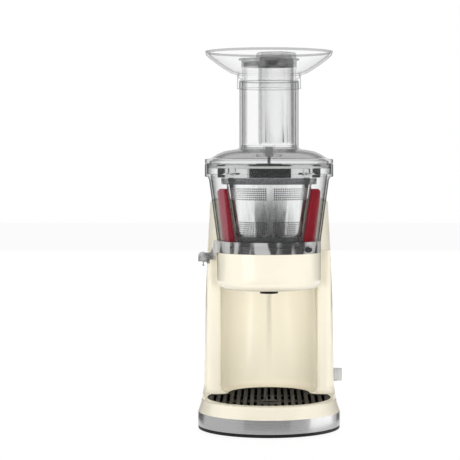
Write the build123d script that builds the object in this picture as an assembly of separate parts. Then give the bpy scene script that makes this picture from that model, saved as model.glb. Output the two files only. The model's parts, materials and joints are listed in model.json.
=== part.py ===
from build123d import *
from math import asin, atan, cos, degrees, pi, radians, sin, sqrt, tan
import os

# Cold press juicer: a slow auger turns in a strainer cone above a pulp niche.
# Millimetres, +Z up, front towards -Y.  Pieces are drawn about the bowl axis (X = Y = 0)
# and saved about the middle of the footprint, so that the origin is the bottom centre.

# ---- clearances -------------------------------------------------------------------------
RUN = 0.08            # radial running fit of a shaft in its bearing
SLIP = 0.3            # gap between pieces that slide, lift or turn past each other
SCREW_GAP = 0.1       # screw shank in its hole

# ---- bowl radii, which the drum and the tower follow --------------------------------------
BOWL_FOOT_R = 60.8
BOWL_FLARE = 9.5      # how far the wall leans out from the sump to its shoulder
BOWL_WALL = 2.5
BAND_OUT = 4.9        # rim band outside the shoulder
BOWL_SHOULDER_R = BOWL_FOOT_R + BOWL_FLARE
BAND_R = BOWL_SHOULDER_R + BAND_OUT

# ---- gear train -------------------------------------------------------------------------
M1, N1, N2 = 1.0, 12, 48       # motor pinion and first gear
M2, N3, N4 = 1.25, 12, 40      # first pinion and second gear
M3, N5, N6, N7 = 1.5, 14, 24, 28   # second pinion, idler, output gear
IDLER_Y = M3 * (N6 + N7) / 2
SECOND_Y = IDLER_Y + M3 * (N5 + N6) / 2
FIRST_Y = SECOND_Y + M2 * (N3 + N4) / 2
MOTOR_Y = FIRST_Y + M1 * (N1 + N2) / 2
BACKLASH = 0.16       # of a module, taken off each tooth
FACE_1, FACE_2, FACE_3 = 8.0, 8.0, 8.0
FACE_GAP = 2.0        # between one gear level and the next
CASE_FLOOR = 3.0
CASE_WALL = 1.4
CASE_GAP = 0.7        # gear tip to case wall
CASE_END = 1.4        # gear face to case floor and cover
CASE_LID = 2.2
PIN_R = 3.0
SHAFT_R = 5.8
HEX_AF = 10.0
HEX_FIT = 0.35
HEX_UP = 15.0         # how far the hexagon stands above the bowl's chimney
BEARING_WALL = 4.0
BEARING_H = 5.0

# ---- motor ------------------------------------------------------------------------------
MOTOR_R = 26.5
MOTOR_GAP = 1.4       # can to rear cover
CAN_WALL = 1.2
CAN_H = 80.0
BELL_H = 6.0
MOUNT_H = 9.6
STATOR_IN = 15.0
STATOR_END = 18.0     # stator to the ends of the can
SLOT_D, SLOT_W = 5.0, 8.0
AIR_GAP = 0.6
MOTOR_SHAFT_R = 3.0
FAN_R = 22.0
FAN_H = 11.0
FAN_DROP = 6.0        # bottom bell to fan
FAN_BLADES = 9
MOUNT_R = 5.0
MOUNT_PCD_R = 17.5
MOTOR_SEAT_R = MOTOR_R - 2.1  # end of the case that carries the motor

# ---- housing ----------------------------------------------------------------------------
WALL = 3.0
NICHE_TOP = 162.6     # underside of the drum
CASE_Z = NICHE_TOP + WALL
LEVEL_1 = CASE_Z + CASE_FLOOR + CASE_END
LEVEL_2 = LEVEL_1 + FACE_1 + FACE_GAP
LEVEL_3 = LEVEL_2 + FACE_2 + FACE_GAP
CASE_TOP = LEVEL_3 + FACE_3 + CASE_END - 0.1
SHELF_AIR = 0.5       # gear cover to the underside of the shelf
SHELF_Z = CASE_TOP + CASE_LID + SHELF_AIR + WALL   # top of the drum, which the bowl stands on
TOWER_H = 61.0        # tower above the shelf
CROWN_Z = SHELF_Z + TOWER_H
SKIRT_Z = 20.3        # lower edge of the housing
DECK_UP = 14.7
DECK_Z = SKIRT_Z + DECK_UP     # top of the deck under the niche
BASE_HALF = 82.8      # half width of the foot
BASE_FRONT = -82.0    # front of the foot
DRAFT_LOW, DRAFT_DECK, DRAFT_MID, DRAFT_SHELF, DRAFT_CROWN = 3.4, 5.1, 7.1, 9.4, 12.7
# height, and how far the outside has drawn in there from the foot
DRAFT = (
    (SKIRT_Z, 0.0), (DECK_Z - 4.0, DRAFT_LOW), (DECK_Z + 9.0, DRAFT_DECK), (NICHE_TOP - 12.6, DRAFT_MID),
    (SHELF_Z, DRAFT_SHELF), (CROWN_Z, DRAFT_CROWN),
)
BASE_BACK = MOTOR_Y + MOTOR_R + MOTOR_GAP + WALL + DRAFT_MID   # back of the foot
BACK_CORNER = 40.0    # plan radius of the back corners
TOWER_FRONT = 36.0    # front face of the side walls
WING_BACK = 10.0      # the wings beside the bowl stand behind that face
WING_FRONT = TOWER_FRONT + WING_BACK
HOLLOW_BACK = 8.0     # the hollow of a side wall starts this far behind its front
CROWN_ROUND = 6.0
DECK_ROUND = 2.5
WALL_ROUND = 4.0      # side wall, where it turns into the niche
SIDE_ROUND = 8.0      # side wall, where it turns to the outside
NICHE_SWEEP = 9.0     # hollow round from the walls down to the deck

DRUM_R = BOWL_FOOT_R + 0.2
DRUM_ROUND = 11.0
NICHE_R = DRUM_R - 3.5         # pulp container niche
NICHE_Y = TOWER_FRONT + WALL_ROUND
RECESS_GAP = 0.2
RECESS_R = BOWL_SHOULDER_R + RECESS_GAP   # hollow in the tower that follows the bowl

GRATE_IN = 10.5       # side of the foot to the drip grate
GRATE_FRONT_R = BASE_HALF - GRATE_IN
GRATE_FRONT_Y = 4.0  # middle of the grate's round front
GRATE_H = 8.0
GRATE_RIM = 2.6
RIB_PITCH = 7.9
RIB_W = 4.4
GRATE_BAR_H = 3.0
PLATE_HALF = 14.0     # plain middle of the grate, with its finger slot
PLATE_Y0, PLATE_Y1 = -50.0, -14.0
FINGER_HALF = 10.5
FINGER_D = 6.5
FINGER_Y = -31.0

# ---- foot -------------------------------------------------------------------------------
BAND_T = 0.8
BAND_Z = 4.4
CHASSIS_Z = 2.0
CHASSIS_FLOOR = 3.0
CHASSIS_WALL = 2.5
FOOT_R = 9.0
FOOT_SEAT = 1.5
FEET = ((-53, -42), (53, -42), (-56, 132), (56, 132))
BOSS_R = 4.2
BOSS_IN = 10.0        # screw line inside the edge of the foot
BOSS_TOP = DECK_Z + 1.0
BOSS_Z = 9.0
SCREW_R = 1.9
HEAD_R = 3.5
HEAD_H = 2.2
SIDE_SCREWS_Y = (TOWER_FRONT + 14, 108)
BACK_SCREWS_X = 34

# ---- rear cover -------------------------------------------------------------------------
SPLIT_Y = MOTOR_Y
COVER_SCREW_LOW, COVER_SCREW_DROP = 35.0, 34.0
COVER_SCREWS_Z = (DECK_Z + COVER_SCREW_LOW, CROWN_Z - COVER_SCREW_DROP)
COVER_BOSS_R = 4.8
COVER_BOSS_LEN = 16.0
COVER_HEAD_Y = SPLIT_Y + 13.0
VENT_W = 56.0
VENT_H = 3.0
VENT_PITCH = 8.0
VENTS = 9
VENT_Z = 62.0
GLAND_X = 34.0
GLAND_Z = 52.0
GLAND_R = 6.0
GLAND_BORE = 3.6

# ---- pulp chute -------------------------------------------------------------------------
CHUTE_Y = -36.0
CHUTE_R = 10.5
CHUTE_WALL = 1.5
CHUTE_DROP = 2.9      # how far its ring shows under the drum
CHUTE_FLANGE = 1.9
CHUTE_FLANGE_H = 1.5

# ---- heights of the motor ---------------------------------------------------------------
CAN_Z1 = CASE_Z - MOUNT_H - BELL_H
CAN_Z0 = CAN_Z1 - CAN_H
STATOR_Z0, STATOR_Z1 = CAN_Z0 + STATOR_END, CAN_Z1 - STATOR_END
FAN_Z = CAN_Z0 - BELL_H - FAN_DROP - FAN_H

# ---- switch, board ----------------------------------------------------------------------
SWITCH_Y = 55.0
SWITCH_Z = 55.0
KNOB_R = 8.0
KNOB_OUT = 10.0       # how far it stands out of the side
KNOB_DRAFT = 0.5
STEM_R = 3.2
BOARD_X, BOARD_Y = 56.0, 40.0
BOARD_AT_Y = MOTOR_Y - 12.0
BOARD_T = 1.6

# ---- bowl heights, up from the shelf ------------------------------------------------------
BOWL_GAP = 0.2
FLOOR_T = 2.5
FLOOR_UP = 8.5        # top of the floor above the shelf
SUMP_H = 14.3
BOWL_H = 70.3         # leaning part of the wall
BAND_STEP = 3.5
BAND_H = 15.2
LEDGE_UP = 2.9        # step in the band that carries the strainer
CHIMNEY_H = 16.5
FLOOR_TOP = SHELF_Z + FLOOR_UP
SUMP_TOP = SHELF_Z + SUMP_H
BOWL_SHOULDER_Z = SUMP_TOP + BOWL_H
BAND_LOW = BOWL_SHOULDER_Z + BAND_STEP
BAND_TOP = BAND_LOW + BAND_H
LEDGE_Z = BAND_LOW + LEDGE_UP
CHIMNEY_R = 8.2
CHIMNEY_BORE = 6.6
CHIMNEY_TOP = FLOOR_TOP + CHIMNEY_H
HEX_TOP = CHIMNEY_TOP + HEX_UP
DUCT_HALF = 7.0       # pulp hole in the floor
DUCT_Y0, DUCT_Y1 = -27.5, -16.5
SPOUT_Y = -12.0
SPOUT_DROP = 4.1      # the spout lies beside the drum
SPOUT_Z = SHELF_Z - SPOUT_DROP
SPOUT_R = 4.4
SPOUT_BORE = 3.2
SPOUT_LEN = 15.3
SPOUT_IN = -(DRUM_R + 0.9)
SPOUT_OUT = SPOUT_IN - SPOUT_LEN
HOOD_R = 5.3
HOOD_BORE = 3.9
HOOD_H = 4.7
MOUTH_Z = SPOUT_Z - HOOD_H
WEB_HALF = 4.5
FLAP_X, FLAP_Z = SPOUT_OUT + 6.6, MOUTH_Z - 1.8
FLAP_R = 5.4
FLAP_T = 1.2
FLAP_PIN_R = 0.9
BALL_R = 1.4
PLUG_DEG, PLUG_UP = -42.0, 4.6
BALL_DROP = 5.6       # ball on the stem under the mouth

# ---- strainer, basket, auger ------------------------------------------------------------
MP, NS, NP = 1.5, 16, 14       # auger gear and the idlers that turn the basket
NR = NS + 2 * NP
DRIVE_FACE = 4.0
DRIVE_Z0 = FLOOR_TOP + 0.5
DRIVE_Z1 = DRIVE_Z0 + DRIVE_FACE
IDLER_BORE = 3.0
RING_OUT = MP * NR / 2 + 5.6

SHEET = 1.0
STRAINER_BASE_Z = DRIVE_Z1 + 1.5
STRAINER_BASE_R = 36.3
RIM_DROP = 3.5
STRAINER_TOP_Z = LEDGE_Z - RIM_DROP
STRAINER_LEAN = 10.9
STRAINER_TOP_R = STRAINER_BASE_R + STRAINER_LEAN
RIM_IN = 14.7         # outside of the bowl's band to the outside of the strainer's rim
RIM_R = BAND_R - RIM_IN
RIM_H = 15.0
EARS = 4
EAR_HALF = 6.0
HOLES_ROUND = 30
HOLE_ROWS_UP, HOLE_ROWS_LOW = 2, 2
HOLE_R = 1.5
PERF_UP = (STRAINER_TOP_Z - 26.4, STRAINER_TOP_Z - 11.8)
PERF_LOW = (STRAINER_BASE_Z + 5.7, STRAINER_BASE_Z + 22.3)
GAP_HALF_DEG = 5.0    # plain strip down the front and back seam

BASKET_GAP = 1.5
BASKET_T = 2.6
BASKET_BASE_Z = DRIVE_Z1 + 0.2
BASKET_TOP_Z = STRAINER_TOP_Z - 1.0
BASKET_RING_H = 7.0
BASKET_RING_Z = BASKET_TOP_Z - BASKET_RING_H
BASKET_RING_R = RIM_R - 4.5
BASKET_SILL = 5.5
POST_HALF_DEG = 13.0
WINDOW_ROUND = 7.0
BLADE_T = 4.0
BLADE_TOP, BLADE_LOW = BASKET_TOP_Z - 12.5, DRIVE_Z0 + 2.0
BLADE_TOP_R, BLADE_LOW_R = RIM_R, BOWL_FOOT_R - 6.8

AUGER_GAP = 0.8       # auger to strainer floor
AUGER_BASE = STRAINER_BASE_Z + SHEET + AUGER_GAP
FLIGHT_UP = 11.5      # top of the flights above the strainer
FLIGHT_TOP_Z = STRAINER_TOP_Z + FLIGHT_UP
HUB_UP = 4.5
AUGER_HUB_R, AUGER_HUB_Z = 15.0, FLIGHT_TOP_Z + HUB_UP
CORE_LOW_R = STRAINER_BASE_R - 4.8
# share of the auger's height, and share of the way from the hub's radius to the foot's
CORE_SHAPE = ((0.113, 0.97), (0.388, 0.758), (0.662, 0.394), (0.852, 0.091), (0.9155, 0.03))
FLIGHTS = 2
FLIGHT_TURN = 400.0
FLIGHT_W_IN, FLIGHT_W_OUT = 9.0, 13.0
FLIGHT_GAP = 0.8
PIVOT_R = 1.85
PIVOT_IN = 9.0

# ---- lid, tray, pushers -----------------------------------------------------------------
LID_GAP = 0.3
LID_FLANGE_R = BAND_R - 0.1
LID_FLANGE_H = 5.2
LID_WALL = 2.5
DOME_IN = 7.1
DOME_UP = 1.1
DOME_RISE = 12.1
DOME_R, DOME_Z = LID_FLANGE_R - DOME_IN, BAND_TOP + LID_GAP + LID_FLANGE_H + DOME_UP
NECK_Z = DOME_Z + DOME_RISE
TUBE_R = 34.6
TUBE_H = 78.0
TUBE_TOP = NECK_Z + TUBE_H
TUBE_LEDGE = 3.0
BRIDGE_T = 6.5
BRIDGE_Z0 = NECK_Z - 3.5
BRIDGE_Z1 = BRIDGE_Z0 + BRIDGE_T
BRIDGE_HALF = 4.0
BRIDGE_HUB_R = 6.5
BRIDGE_HUB_DOWN = 7.0  # hub under the bar, down to the disc over the auger
BRIDGE_DISC_R = 15.0
BRIDGE_DISC_T = 3.0
BUSH_R = 4.5
SKIRT_DROP = 5.5
PIVOT_Z0, PIVOT_Z1 = AUGER_HUB_Z - PIVOT_IN, BRIDGE_Z0 + 3.5

TRAY_R = 74.8
TRAY_RIM_H = 6.5
TRAY_T = 2.2
TRAY_NECK_UP = 6.8    # foot of the dish above the mouth of the tube
TRAY_DISH_H = 28.2
TRAY_NECK_Z = TUBE_TOP + TRAY_NECK_UP
TRAY_TOP = TRAY_NECK_Z + TRAY_DISH_H
COLLAR_WALL = 2.5
COLLAR_R = TUBE_R + SLIP + COLLAR_WALL
COLLAR_DOWN = 9.6
COLLAR_Z = TUBE_TOP - COLLAR_DOWN
COLLAR_STEP_Z = TUBE_TOP - 0.8
TRAY_LEDGE_R = TUBE_R - 1.3    # ledge that rests on the mouth of the tube
COLLAR_THIN = 1.3

PUSHER_FIT = 0.5
PUSHER_R = TUBE_R - LID_WALL - PUSHER_FIT
PUSHER_WALL = 2.0
PUSHER_SUNK = 9.0     # its lip below the rim of the tray
PUSHER_TOP = TRAY_TOP - PUSHER_SUNK
PUSHER_LIP_R = PUSHER_R + 4.0
PUSHER_LIP_H = 1.6
PUSHER_HEAD_R = PUSHER_R + 0.8
PUSHER_HEAD_H = 9.5
PUSHER_HEAD_Z = PUSHER_TOP - PUSHER_HEAD_H
SMALL_X = 8.6
SMALL_BORE = 20.0
SMALL_WALL = 1.8
SMALL_CAP_R = SMALL_BORE + 3.4
SMALL_CAP_H = 7.5
SMALL_CAP_TOP = PUSHER_TOP + SMALL_CAP_H
SMALL_CAP_ROUND = 2.5

FOOTPRINT_Y = (BASE_FRONT + BASE_BACK) / 2
BASE = (Align.CENTER, Align.CENTER, Align.MIN)


# ---- small helpers ----------------------------------------------------------------------
def rod(r, z0, z1, x=0.0, y=0.0):
    """Upright cylinder between two heights."""
    return Pos(x, y, z0) * Cylinder(r, z1 - z0, align=BASE)


def tube(r_in, r_out, z0, z1, x=0.0, y=0.0):
    return rod(r_out, z0, z1, x, y) - rod(r_in, z0 - 1, z1 + 1, x, y)


def block(x0, x1, y0, y1, z0, z1):
    return Pos((x0 + x1) / 2, (y0 + y1) / 2, z0) * Box(x1 - x0, y1 - y0, z1 - z0, align=BASE)


def lathe(*outline):
    """Solid turned about the bowl axis from (radius, height) points."""
    return revolve(Plane.XZ * make_face(Polyline(*outline, close=True)), Axis.Z)


def along_x(r, x0, x1, y, z):
    return Pos(x0, y, z) * Rot(0, 90, 0) * Cylinder(r, x1 - x0, align=BASE)


def along_y(r, y0, y1, x, z):
    return Pos(x, y0, z) * Rot(-90, 0, 0) * Cylinder(r, y1 - y0, align=BASE)


def both_sides(shape):
    return shape + mirror(shape, Plane.YZ)


def at_height(z, low, high):
    """Radius of a cone at a height, from its (radius, height) ends."""
    return low[0] + (high[0] - low[0]) * (z - low[1]) / (high[1] - low[1])


# ---- gears ------------------------------------------------------------------------------
def tooth_outline(module, teeth, phase, inner=False):
    """Points of a gear with straight-sided teeth; phase is the angle of one tooth."""
    pitch_r = module * teeth / 2
    tip_r, root_r = pitch_r + 0.85 * module, pitch_r - 1.05 * module
    if inner:
        tip_r, root_r = pitch_r - 0.8 * module, pitch_r + 1.05 * module
    half = (pi / 2 - BACKLASH) * module / 2
    points = []
    for k in range(teeth):
        centre = radians(phase + 360 * k / teeth)
        lean = (pitch_r - root_r) * tan(radians(20)) * (1 if not inner else -1)
        cut = (tip_r - pitch_r) * tan(radians(24)) * (1 if not inner else -1)
        for r, w in ((root_r, half + abs(lean)), (tip_r, half - abs(cut))):
            points.append((r, centre - w / r))
        for r, w in ((tip_r, half - abs(cut)), (root_r, half + abs(lean))):
            points.append((r, centre + w / r))
    return [(r * cos(a), r * sin(a)) for r, a in points]


def gear(module, teeth, phase, z0, z1, bore, x=0.0, y=0.0):
    face = make_face(Polyline(*tooth_outline(module, teeth, phase), close=True)) - Circle(bore)
    return Pos(x, y, z0) * extrude(face, z1 - z0)


def ring_gear(module, teeth, phase, z0, z1, out_r):
    teeth_face = make_face(Polyline(*tooth_outline(module, teeth, phase, True), close=True))
    return Pos(0, 0, z0) * extrude(Circle(out_r) - teeth_face, z1 - z0)


def meshed(direction, n_from, phase_from, n_to):
    """Phase of a gear that meshes with another one, seen from it in a direction."""
    share = (direction - phase_from) * n_from / 360
    return direction + 180 - (0.5 - share) * 360 / n_to


def meshed_ring(direction, n_from, phase_from, n_ring):
    share = (direction - phase_from) * n_from / 360
    return direction - (share - 0.5) * 360 / n_ring


# Places of the gear train, from the output gear under the bowl to the motor at the back.
PLANET_X = MP * (NS + NP) / 2


# ---- housing ----------------------------------------------------------------------------
def body_plan(draw_in):
    """Plan of the body: a round nose, straight sides and rounded back corners."""
    half = BASE_HALF - draw_in
    centre_y = BASE_FRONT + BASE_HALF
    back = BASE_BACK - draw_in
    slab = Pos(0, (centre_y + back) / 2) * Rectangle(2 * half, back - centre_y)
    corners = slab.vertices().filter_by(lambda v: v.Y > centre_y + 1)
    slab = fillet(corners, BACK_CORNER - draw_in)
    return slab + Pos(0, centre_y) * Circle(half)


def drafted(z0, z1, in0, in1, inset):
    lean = degrees(atan((in1 - in0) / (z1 - z0)))
    return Pos(0, 0, z0) * extrude(body_plan(in0 + inset), z1 - z0, taper=lean)


def half_at(z):
    """Half width of the body's outside at a height."""
    for (z0, in0), (z1, in1) in zip(DRAFT, DRAFT[1:]):
        if z <= z1:
            return BASE_HALF - in0 - (in1 - in0) * (z - z0) / (z1 - z0)


def body_mass(inset):
    (z0, in0), (z1, in1) = DRAFT[:2]
    mass = drafted(z0, z1, in0, in1, inset)
    for (z0, in0), (z1, in1) in zip(DRAFT[1:], DRAFT[2:]):
        mass += drafted(z0, z1, in0, in1, inset)
    return mass


def wall_rounds():
    """Rounds of a side wall at the niche and at its outside, held to what the wall has room for."""
    room = half_at(NICHE_TOP) - NICHE_R
    return min(WALL_ROUND, 0.3 * room), min(SIDE_ROUND, 0.55 * room)


def front_plan(grow=0.0):
    """Plan of the open space over the deck: the round niche, both walls and all in front."""
    side = NICHE_R + grow
    wall_round, side_round = wall_rounds()
    turn, edge = wall_round - grow, side_round - grow
    nose_x = side + turn
    edge_x = half_at(NICHE_TOP) - side_round
    face_y, edge_y = NICHE_Y - wall_round + grow, NICHE_Y - wall_round + side_round
    far = BASE_FRONT * 2
    lean = radians(30)
    corner = (edge_x + edge * cos(lean), edge_y - edge * sin(lean))
    reach = BASE_HALF
    flank = (corner[0] + reach * sin(lean), corner[1] + reach * cos(lean))
    half = [
        Line((0, NICHE_Y + side), (0, far)),
        ThreePointArc(
            (0, NICHE_Y + side), (side * sin(pi / 4), NICHE_Y + side * cos(pi / 4)), (side, NICHE_Y)
        ),
    ]
    if turn > 0:
        half.append(
            ThreePointArc(
                (side, NICHE_Y),
                (nose_x - turn * cos(pi / 4), NICHE_Y - turn * sin(pi / 4)),
                (nose_x, NICHE_Y - turn),
            )
        )
    else:
        half.append(Line((side, NICHE_Y), (side, face_y)))
        nose_x = side
    middle = (edge_x + edge * sin(lean), edge_y - edge * cos(lean))
    half += [
        Line((nose_x, face_y), (edge_x, face_y)),
        ThreePointArc((edge_x, face_y), middle, corner),
        Line(corner, flank),
        Line(flank, (flank[0], far)),
        Line((flank[0], far), (0, far)),
    ]
    right = make_face(Wire(half))
    return right + mirror(right, Plane.YZ)


def front_void():
    """Space over the deck and in front of the side walls, with its floor swept up to them."""
    void = Pos(0, 0, DECK_Z) * extrude(front_plan(), NICHE_TOP - DECK_Z)
    floor = void.edges().filter_by(lambda e: abs(e.center().Z - DECK_Z) < 0.01 and e.bounding_box().max.Y > 0)
    void = fillet(floor, NICHE_SWEEP)
    wide = 2 * BASE_HALF
    above = Pos(0, 0, NICHE_TOP) * extrude(front_plan() & block_plan(TOWER_FRONT + SIDE_ROUND), CROWN_Z)
    return void + above


def block_plan(y):
    """Everything in front of a line across the body."""
    return Pos(0, y - 4 * BASE_HALF) * Rectangle(8 * BASE_HALF, 8 * BASE_HALF)


def recess_void(grow, back):
    """Space that the bowl stands in."""
    wide = 2 * BASE_HALF
    void = rod(RECESS_R + grow, SHELF_Z - grow, CROWN_Z * 2)
    return void + block(-wide, wide, BASE_FRONT * 2, WING_FRONT + back, SHELF_Z - grow, CROWN_Z * 2)


def drum(inset):
    solid = rod(DRUM_R - inset, NICHE_TOP + inset, SHELF_Z - inset)
    rim = solid.edges().filter_by(GeomType.CIRCLE).sort_by(Axis.Z)[0]
    return fillet(rim, DRUM_ROUND - inset)


def grate_plan(clear=0.0):
    nose = Pos(0, GRATE_FRONT_Y) * Circle(GRATE_FRONT_R - clear)
    back = NICHE_Y + NICHE_R
    behind = Pos(0, (GRATE_FRONT_Y + back) / 2) * Rectangle(2 * NICHE_R, back - GRATE_FRONT_Y)
    return front_plan(-NICHE_SWEEP - clear) & (nose + behind)


def body_skin():
    """Outside of the body, before it is hollowed."""
    mass = body_mass(0) - front_void()
    edge = mass.edges().filter_by(
        lambda e: abs(e.center().Z - DECK_Z) < 0.01 and abs(e.center().Z - e.bounding_box().max.Z) < 0.01
        and e.center().Y < TOWER_FRONT and e.length > NICHE_SWEEP
        and (abs(e.center().X) > NICHE_R or e.bounding_box().min.Y < BASE_FRONT + 2 * DRAFT_DECK)
    )
    mass = fillet(edge, DECK_ROUND)
    mass = mass + drum(0)
    mass = mass - recess_void(0, 0)
    crown = mass.edges().filter_by(
        lambda e: abs(e.center().Z - CROWN_Z) < 0.01 and e.bounding_box().max.Y > RECESS_R
    )
    return mass, crown


def body_shell():
    mass, crown = body_skin()
    hollow = body_mass(WALL)
    hollow = hollow & block(-200, 200, -200, 300, 0, CROWN_Z - WALL)
    hollow = hollow - block(-200, 200, -200, TOWER_FRONT + HOLLOW_BACK, DECK_Z - WALL, 400)
    hollow = hollow - Pos(0, 0, DECK_Z - WALL) * extrude(
        Pos(0, NICHE_Y) * Circle(NICHE_R + WALL), NICHE_TOP + 2 * WALL - DECK_Z
    )
    hollow = hollow + drum(WALL)
    hollow = hollow - recess_void(WALL, HOLLOW_BACK)
    pan_z = DECK_Z - GRATE_H
    hollow = hollow - Pos(0, 0, pan_z - WALL) * extrude(grate_plan(-WALL), WALL + GRATE_H)
    pan = Pos(0, 0, pan_z) * extrude(grate_plan(), GRATE_H + 1)
    crown_cut = fillet(crown, CROWN_ROUND)
    return crown_cut - hollow - pan


def screw_places():
    side = BASE_HALF - BOSS_IN
    sides = [(s * side, y) for s in (-1, 1) for y in SIDE_SCREWS_Y]
    backs = [(s * BACK_SCREWS_X, BASE_BACK - BOSS_IN) for s in (-1, 1)]
    return sides, backs


def boss(x, y, z0, z1):
    return rod(BOSS_R, z0, z1, x, y) - rod(SCREW_R + SCREW_GAP, z0 - 1, z1 - 4, x, y)


def cover_screw_places():
    return [(s * (half_at(z) - WALL - 4.0), z) for z in COVER_SCREWS_Z for s in (-1, 1)]


def housing_and_cover():
    shell = body_shell()
    sides, backs = screw_places()
    behind = block(-200, 200, SPLIT_Y, 300, 0, 400)
    front, rear = shell - behind, shell & behind
    for x, y in sides:
        front += boss(x, y, BOSS_Z, BOSS_TOP)
    for x, y in backs:
        rear += boss(x, y, BOSS_Z, BOSS_TOP)
    for x, z in cover_screw_places():
        front += along_y(COVER_BOSS_R, SPLIT_Y - COVER_BOSS_LEN, SPLIT_Y, x, z)
        outer = along_y(COVER_BOSS_R, SPLIT_Y, BASE_BACK, x, z) & body_mass(0.5)
        rear += outer
        hole = along_y(SCREW_R + SCREW_GAP, SPLIT_Y - COVER_BOSS_LEN + 4, BASE_BACK, x, z)
        front -= hole
        rear -= hole
        rear -= along_y(HEAD_R + SLIP, COVER_HEAD_Y, BASE_BACK + 10, x, z)
    # openings of the front shell
    front -= rod(CHUTE_R + SCREW_GAP, NICHE_TOP - 5, SHELF_Z + 1, 0, CHUTE_Y)
    front -= rod(CHUTE_R + CHUTE_FLANGE + SCREW_GAP, SHELF_Z - CHUTE_FLANGE_H, SHELF_Z + 1, 0, CHUTE_Y)
    front -= rod(SHAFT_R + BEARING_WALL, SHELF_Z - WALL - 1, SHELF_Z + 1)
    front -= along_x(STEM_R + SLIP, half_at(SWITCH_Z) - 8, half_at(SWITCH_Z) + 8, SWITCH_Y, SWITCH_Z)
    for k in range(VENTS):
        z = VENT_Z + k * VENT_PITCH
        slot = Pos(0, BASE_BACK - 10, z) * Rot(90, 0, 0) * extrude(SlotOverall(VENT_W, VENT_H), 20, both=True)
        rear -= slot
    rear -= along_y(GLAND_R, BASE_BACK - 30, BASE_BACK + 5, GLAND_X, GLAND_Z)
    return front, rear


def chassis():
    lip = Pos(0, 0, CHASSIS_Z) * extrude(body_plan(0.3), BAND_Z - CHASSIS_Z)
    wall = Pos(0, 0, BAND_Z) * extrude(body_plan(BAND_T), SKIRT_Z - BAND_Z)
    room = Pos(0, 0, CHASSIS_Z + CHASSIS_FLOOR) * extrude(body_plan(BAND_T + CHASSIS_WALL), SKIRT_Z)
    tray = lip + wall - room
    sides, backs = screw_places()
    for x, y in sides + backs:
        tray += rod(BOSS_R, CHASSIS_Z, BOSS_Z, x, y)
        tray -= rod(SCREW_R + SCREW_GAP, 0, BOSS_Z + 1, x, y)
        tray -= rod(HEAD_R + SLIP, 0, CHASSIS_Z + HEAD_H, x, y)
    for x, y in FEET:
        tray -= rod(FOOT_R, 0, CHASSIS_Z + FOOT_SEAT, x, y)
    for x, y in board_posts():
        tray += rod(3.0, CHASSIS_Z + 1, BOSS_Z, x, y)
    for k in range(-3, 4):
        tray -= block(-24, 24, BOARD_AT_Y - 52 + 6 * k, BOARD_AT_Y - 49 + 6 * k, 0, 8)
    return tray


def board_posts():
    dx, dy = BOARD_X / 2 - 5, BOARD_Y / 2 - 5
    return [(sx * dx, BOARD_AT_Y + sy * dy) for sx in (-1, 1) for sy in (-1, 1)]


def base_band():
    outer = Pos(0, 0, BAND_Z) * extrude(body_plan(0), SKIRT_Z - BAND_Z)
    return outer - Pos(0, 0, BAND_Z - 1) * extrude(body_plan(BAND_T), SKIRT_Z)


def feet():
    pads = []
    for x, y in FEET:
        pad = rod(FOOT_R - 0.6, 0, CHASSIS_Z, x, y) + rod(FOOT_R, CHASSIS_Z, CHASSIS_Z + FOOT_SEAT, x, y)
        pads.append(pad)
    return Compound(children=pads)


def screw(x, y, z_head, z_end):
    """Upright screw, head down."""
    head = rod(HEAD_R, z_head, z_head + HEAD_H, x, y)
    cross = Pos(x, y, z_head - 0.01) * (
        Box(4.2, 1.0, 1.2, align=BASE) + Box(1.0, 4.2, 1.2, align=BASE)
    )
    return head + rod(SCREW_R, z_head + HEAD_H, z_end, x, y) - cross


def base_screws():
    sides, backs = screw_places()
    z_head = CHASSIS_Z
    return Compound(children=[screw(x, y, z_head, BOSS_TOP - 8) for x, y in sides + backs])


def cover_screws():
    screws = []
    for x, z in cover_screw_places():
        body = along_y(SCREW_R, SPLIT_Y - COVER_BOSS_LEN + 6, COVER_HEAD_Y, x, z)
        head = along_y(HEAD_R, COVER_HEAD_Y, COVER_HEAD_Y + HEAD_H, x, z)
        slot = Pos(x, COVER_HEAD_Y + HEAD_H, z) * (Box(4.2, 2.0, 1.0) + Box(1.0, 2.0, 4.2))
        screws.append(body + head - slot)
    return Compound(children=screws)


def drip_grate():
    outline = grate_plan(SLIP)
    inside = grate_plan(SLIP + GRATE_RIM)
    top = DECK_Z - 0.6
    low = DECK_Z - GRATE_H + SLIP
    plate = extrude(outline, top - low) - extrude(inside, top - low)
    ribs = int(GRATE_FRONT_R // RIB_PITCH)
    bars = Sketch()
    for k in range(-ribs, ribs):
        bars += Pos((k + 0.5) * RIB_PITCH, 0) * Rectangle(RIB_W, 4 * NICHE_R)
    bars += Pos(0, (PLATE_Y0 + PLATE_Y1) / 2) * Rectangle(2 * PLATE_HALF, PLATE_Y1 - PLATE_Y0)
    bars &= outline
    finger = Pos(0, FINGER_Y) * Ellipse(FINGER_HALF, FINGER_D / 2)
    bars -= finger
    cross = (Pos(0, -6) * Rectangle(300, 4) + Pos(0, 45) * Rectangle(300, 4)) & outline
    body = plate + extrude(bars, top - low) + extrude(cross, GRATE_BAR_H)
    return Pos(0, 0, low) * body


def pulp_chute():
    ring = tube(CHUTE_R - CHUTE_WALL, CHUTE_R, NICHE_TOP - CHUTE_DROP, SHELF_Z, 0, CHUTE_Y)
    flange = tube(
        CHUTE_R - CHUTE_WALL, CHUTE_R + CHUTE_FLANGE, SHELF_Z - CHUTE_FLANGE_H, SHELF_Z, 0, CHUTE_Y
    )
    return ring + flange


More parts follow.
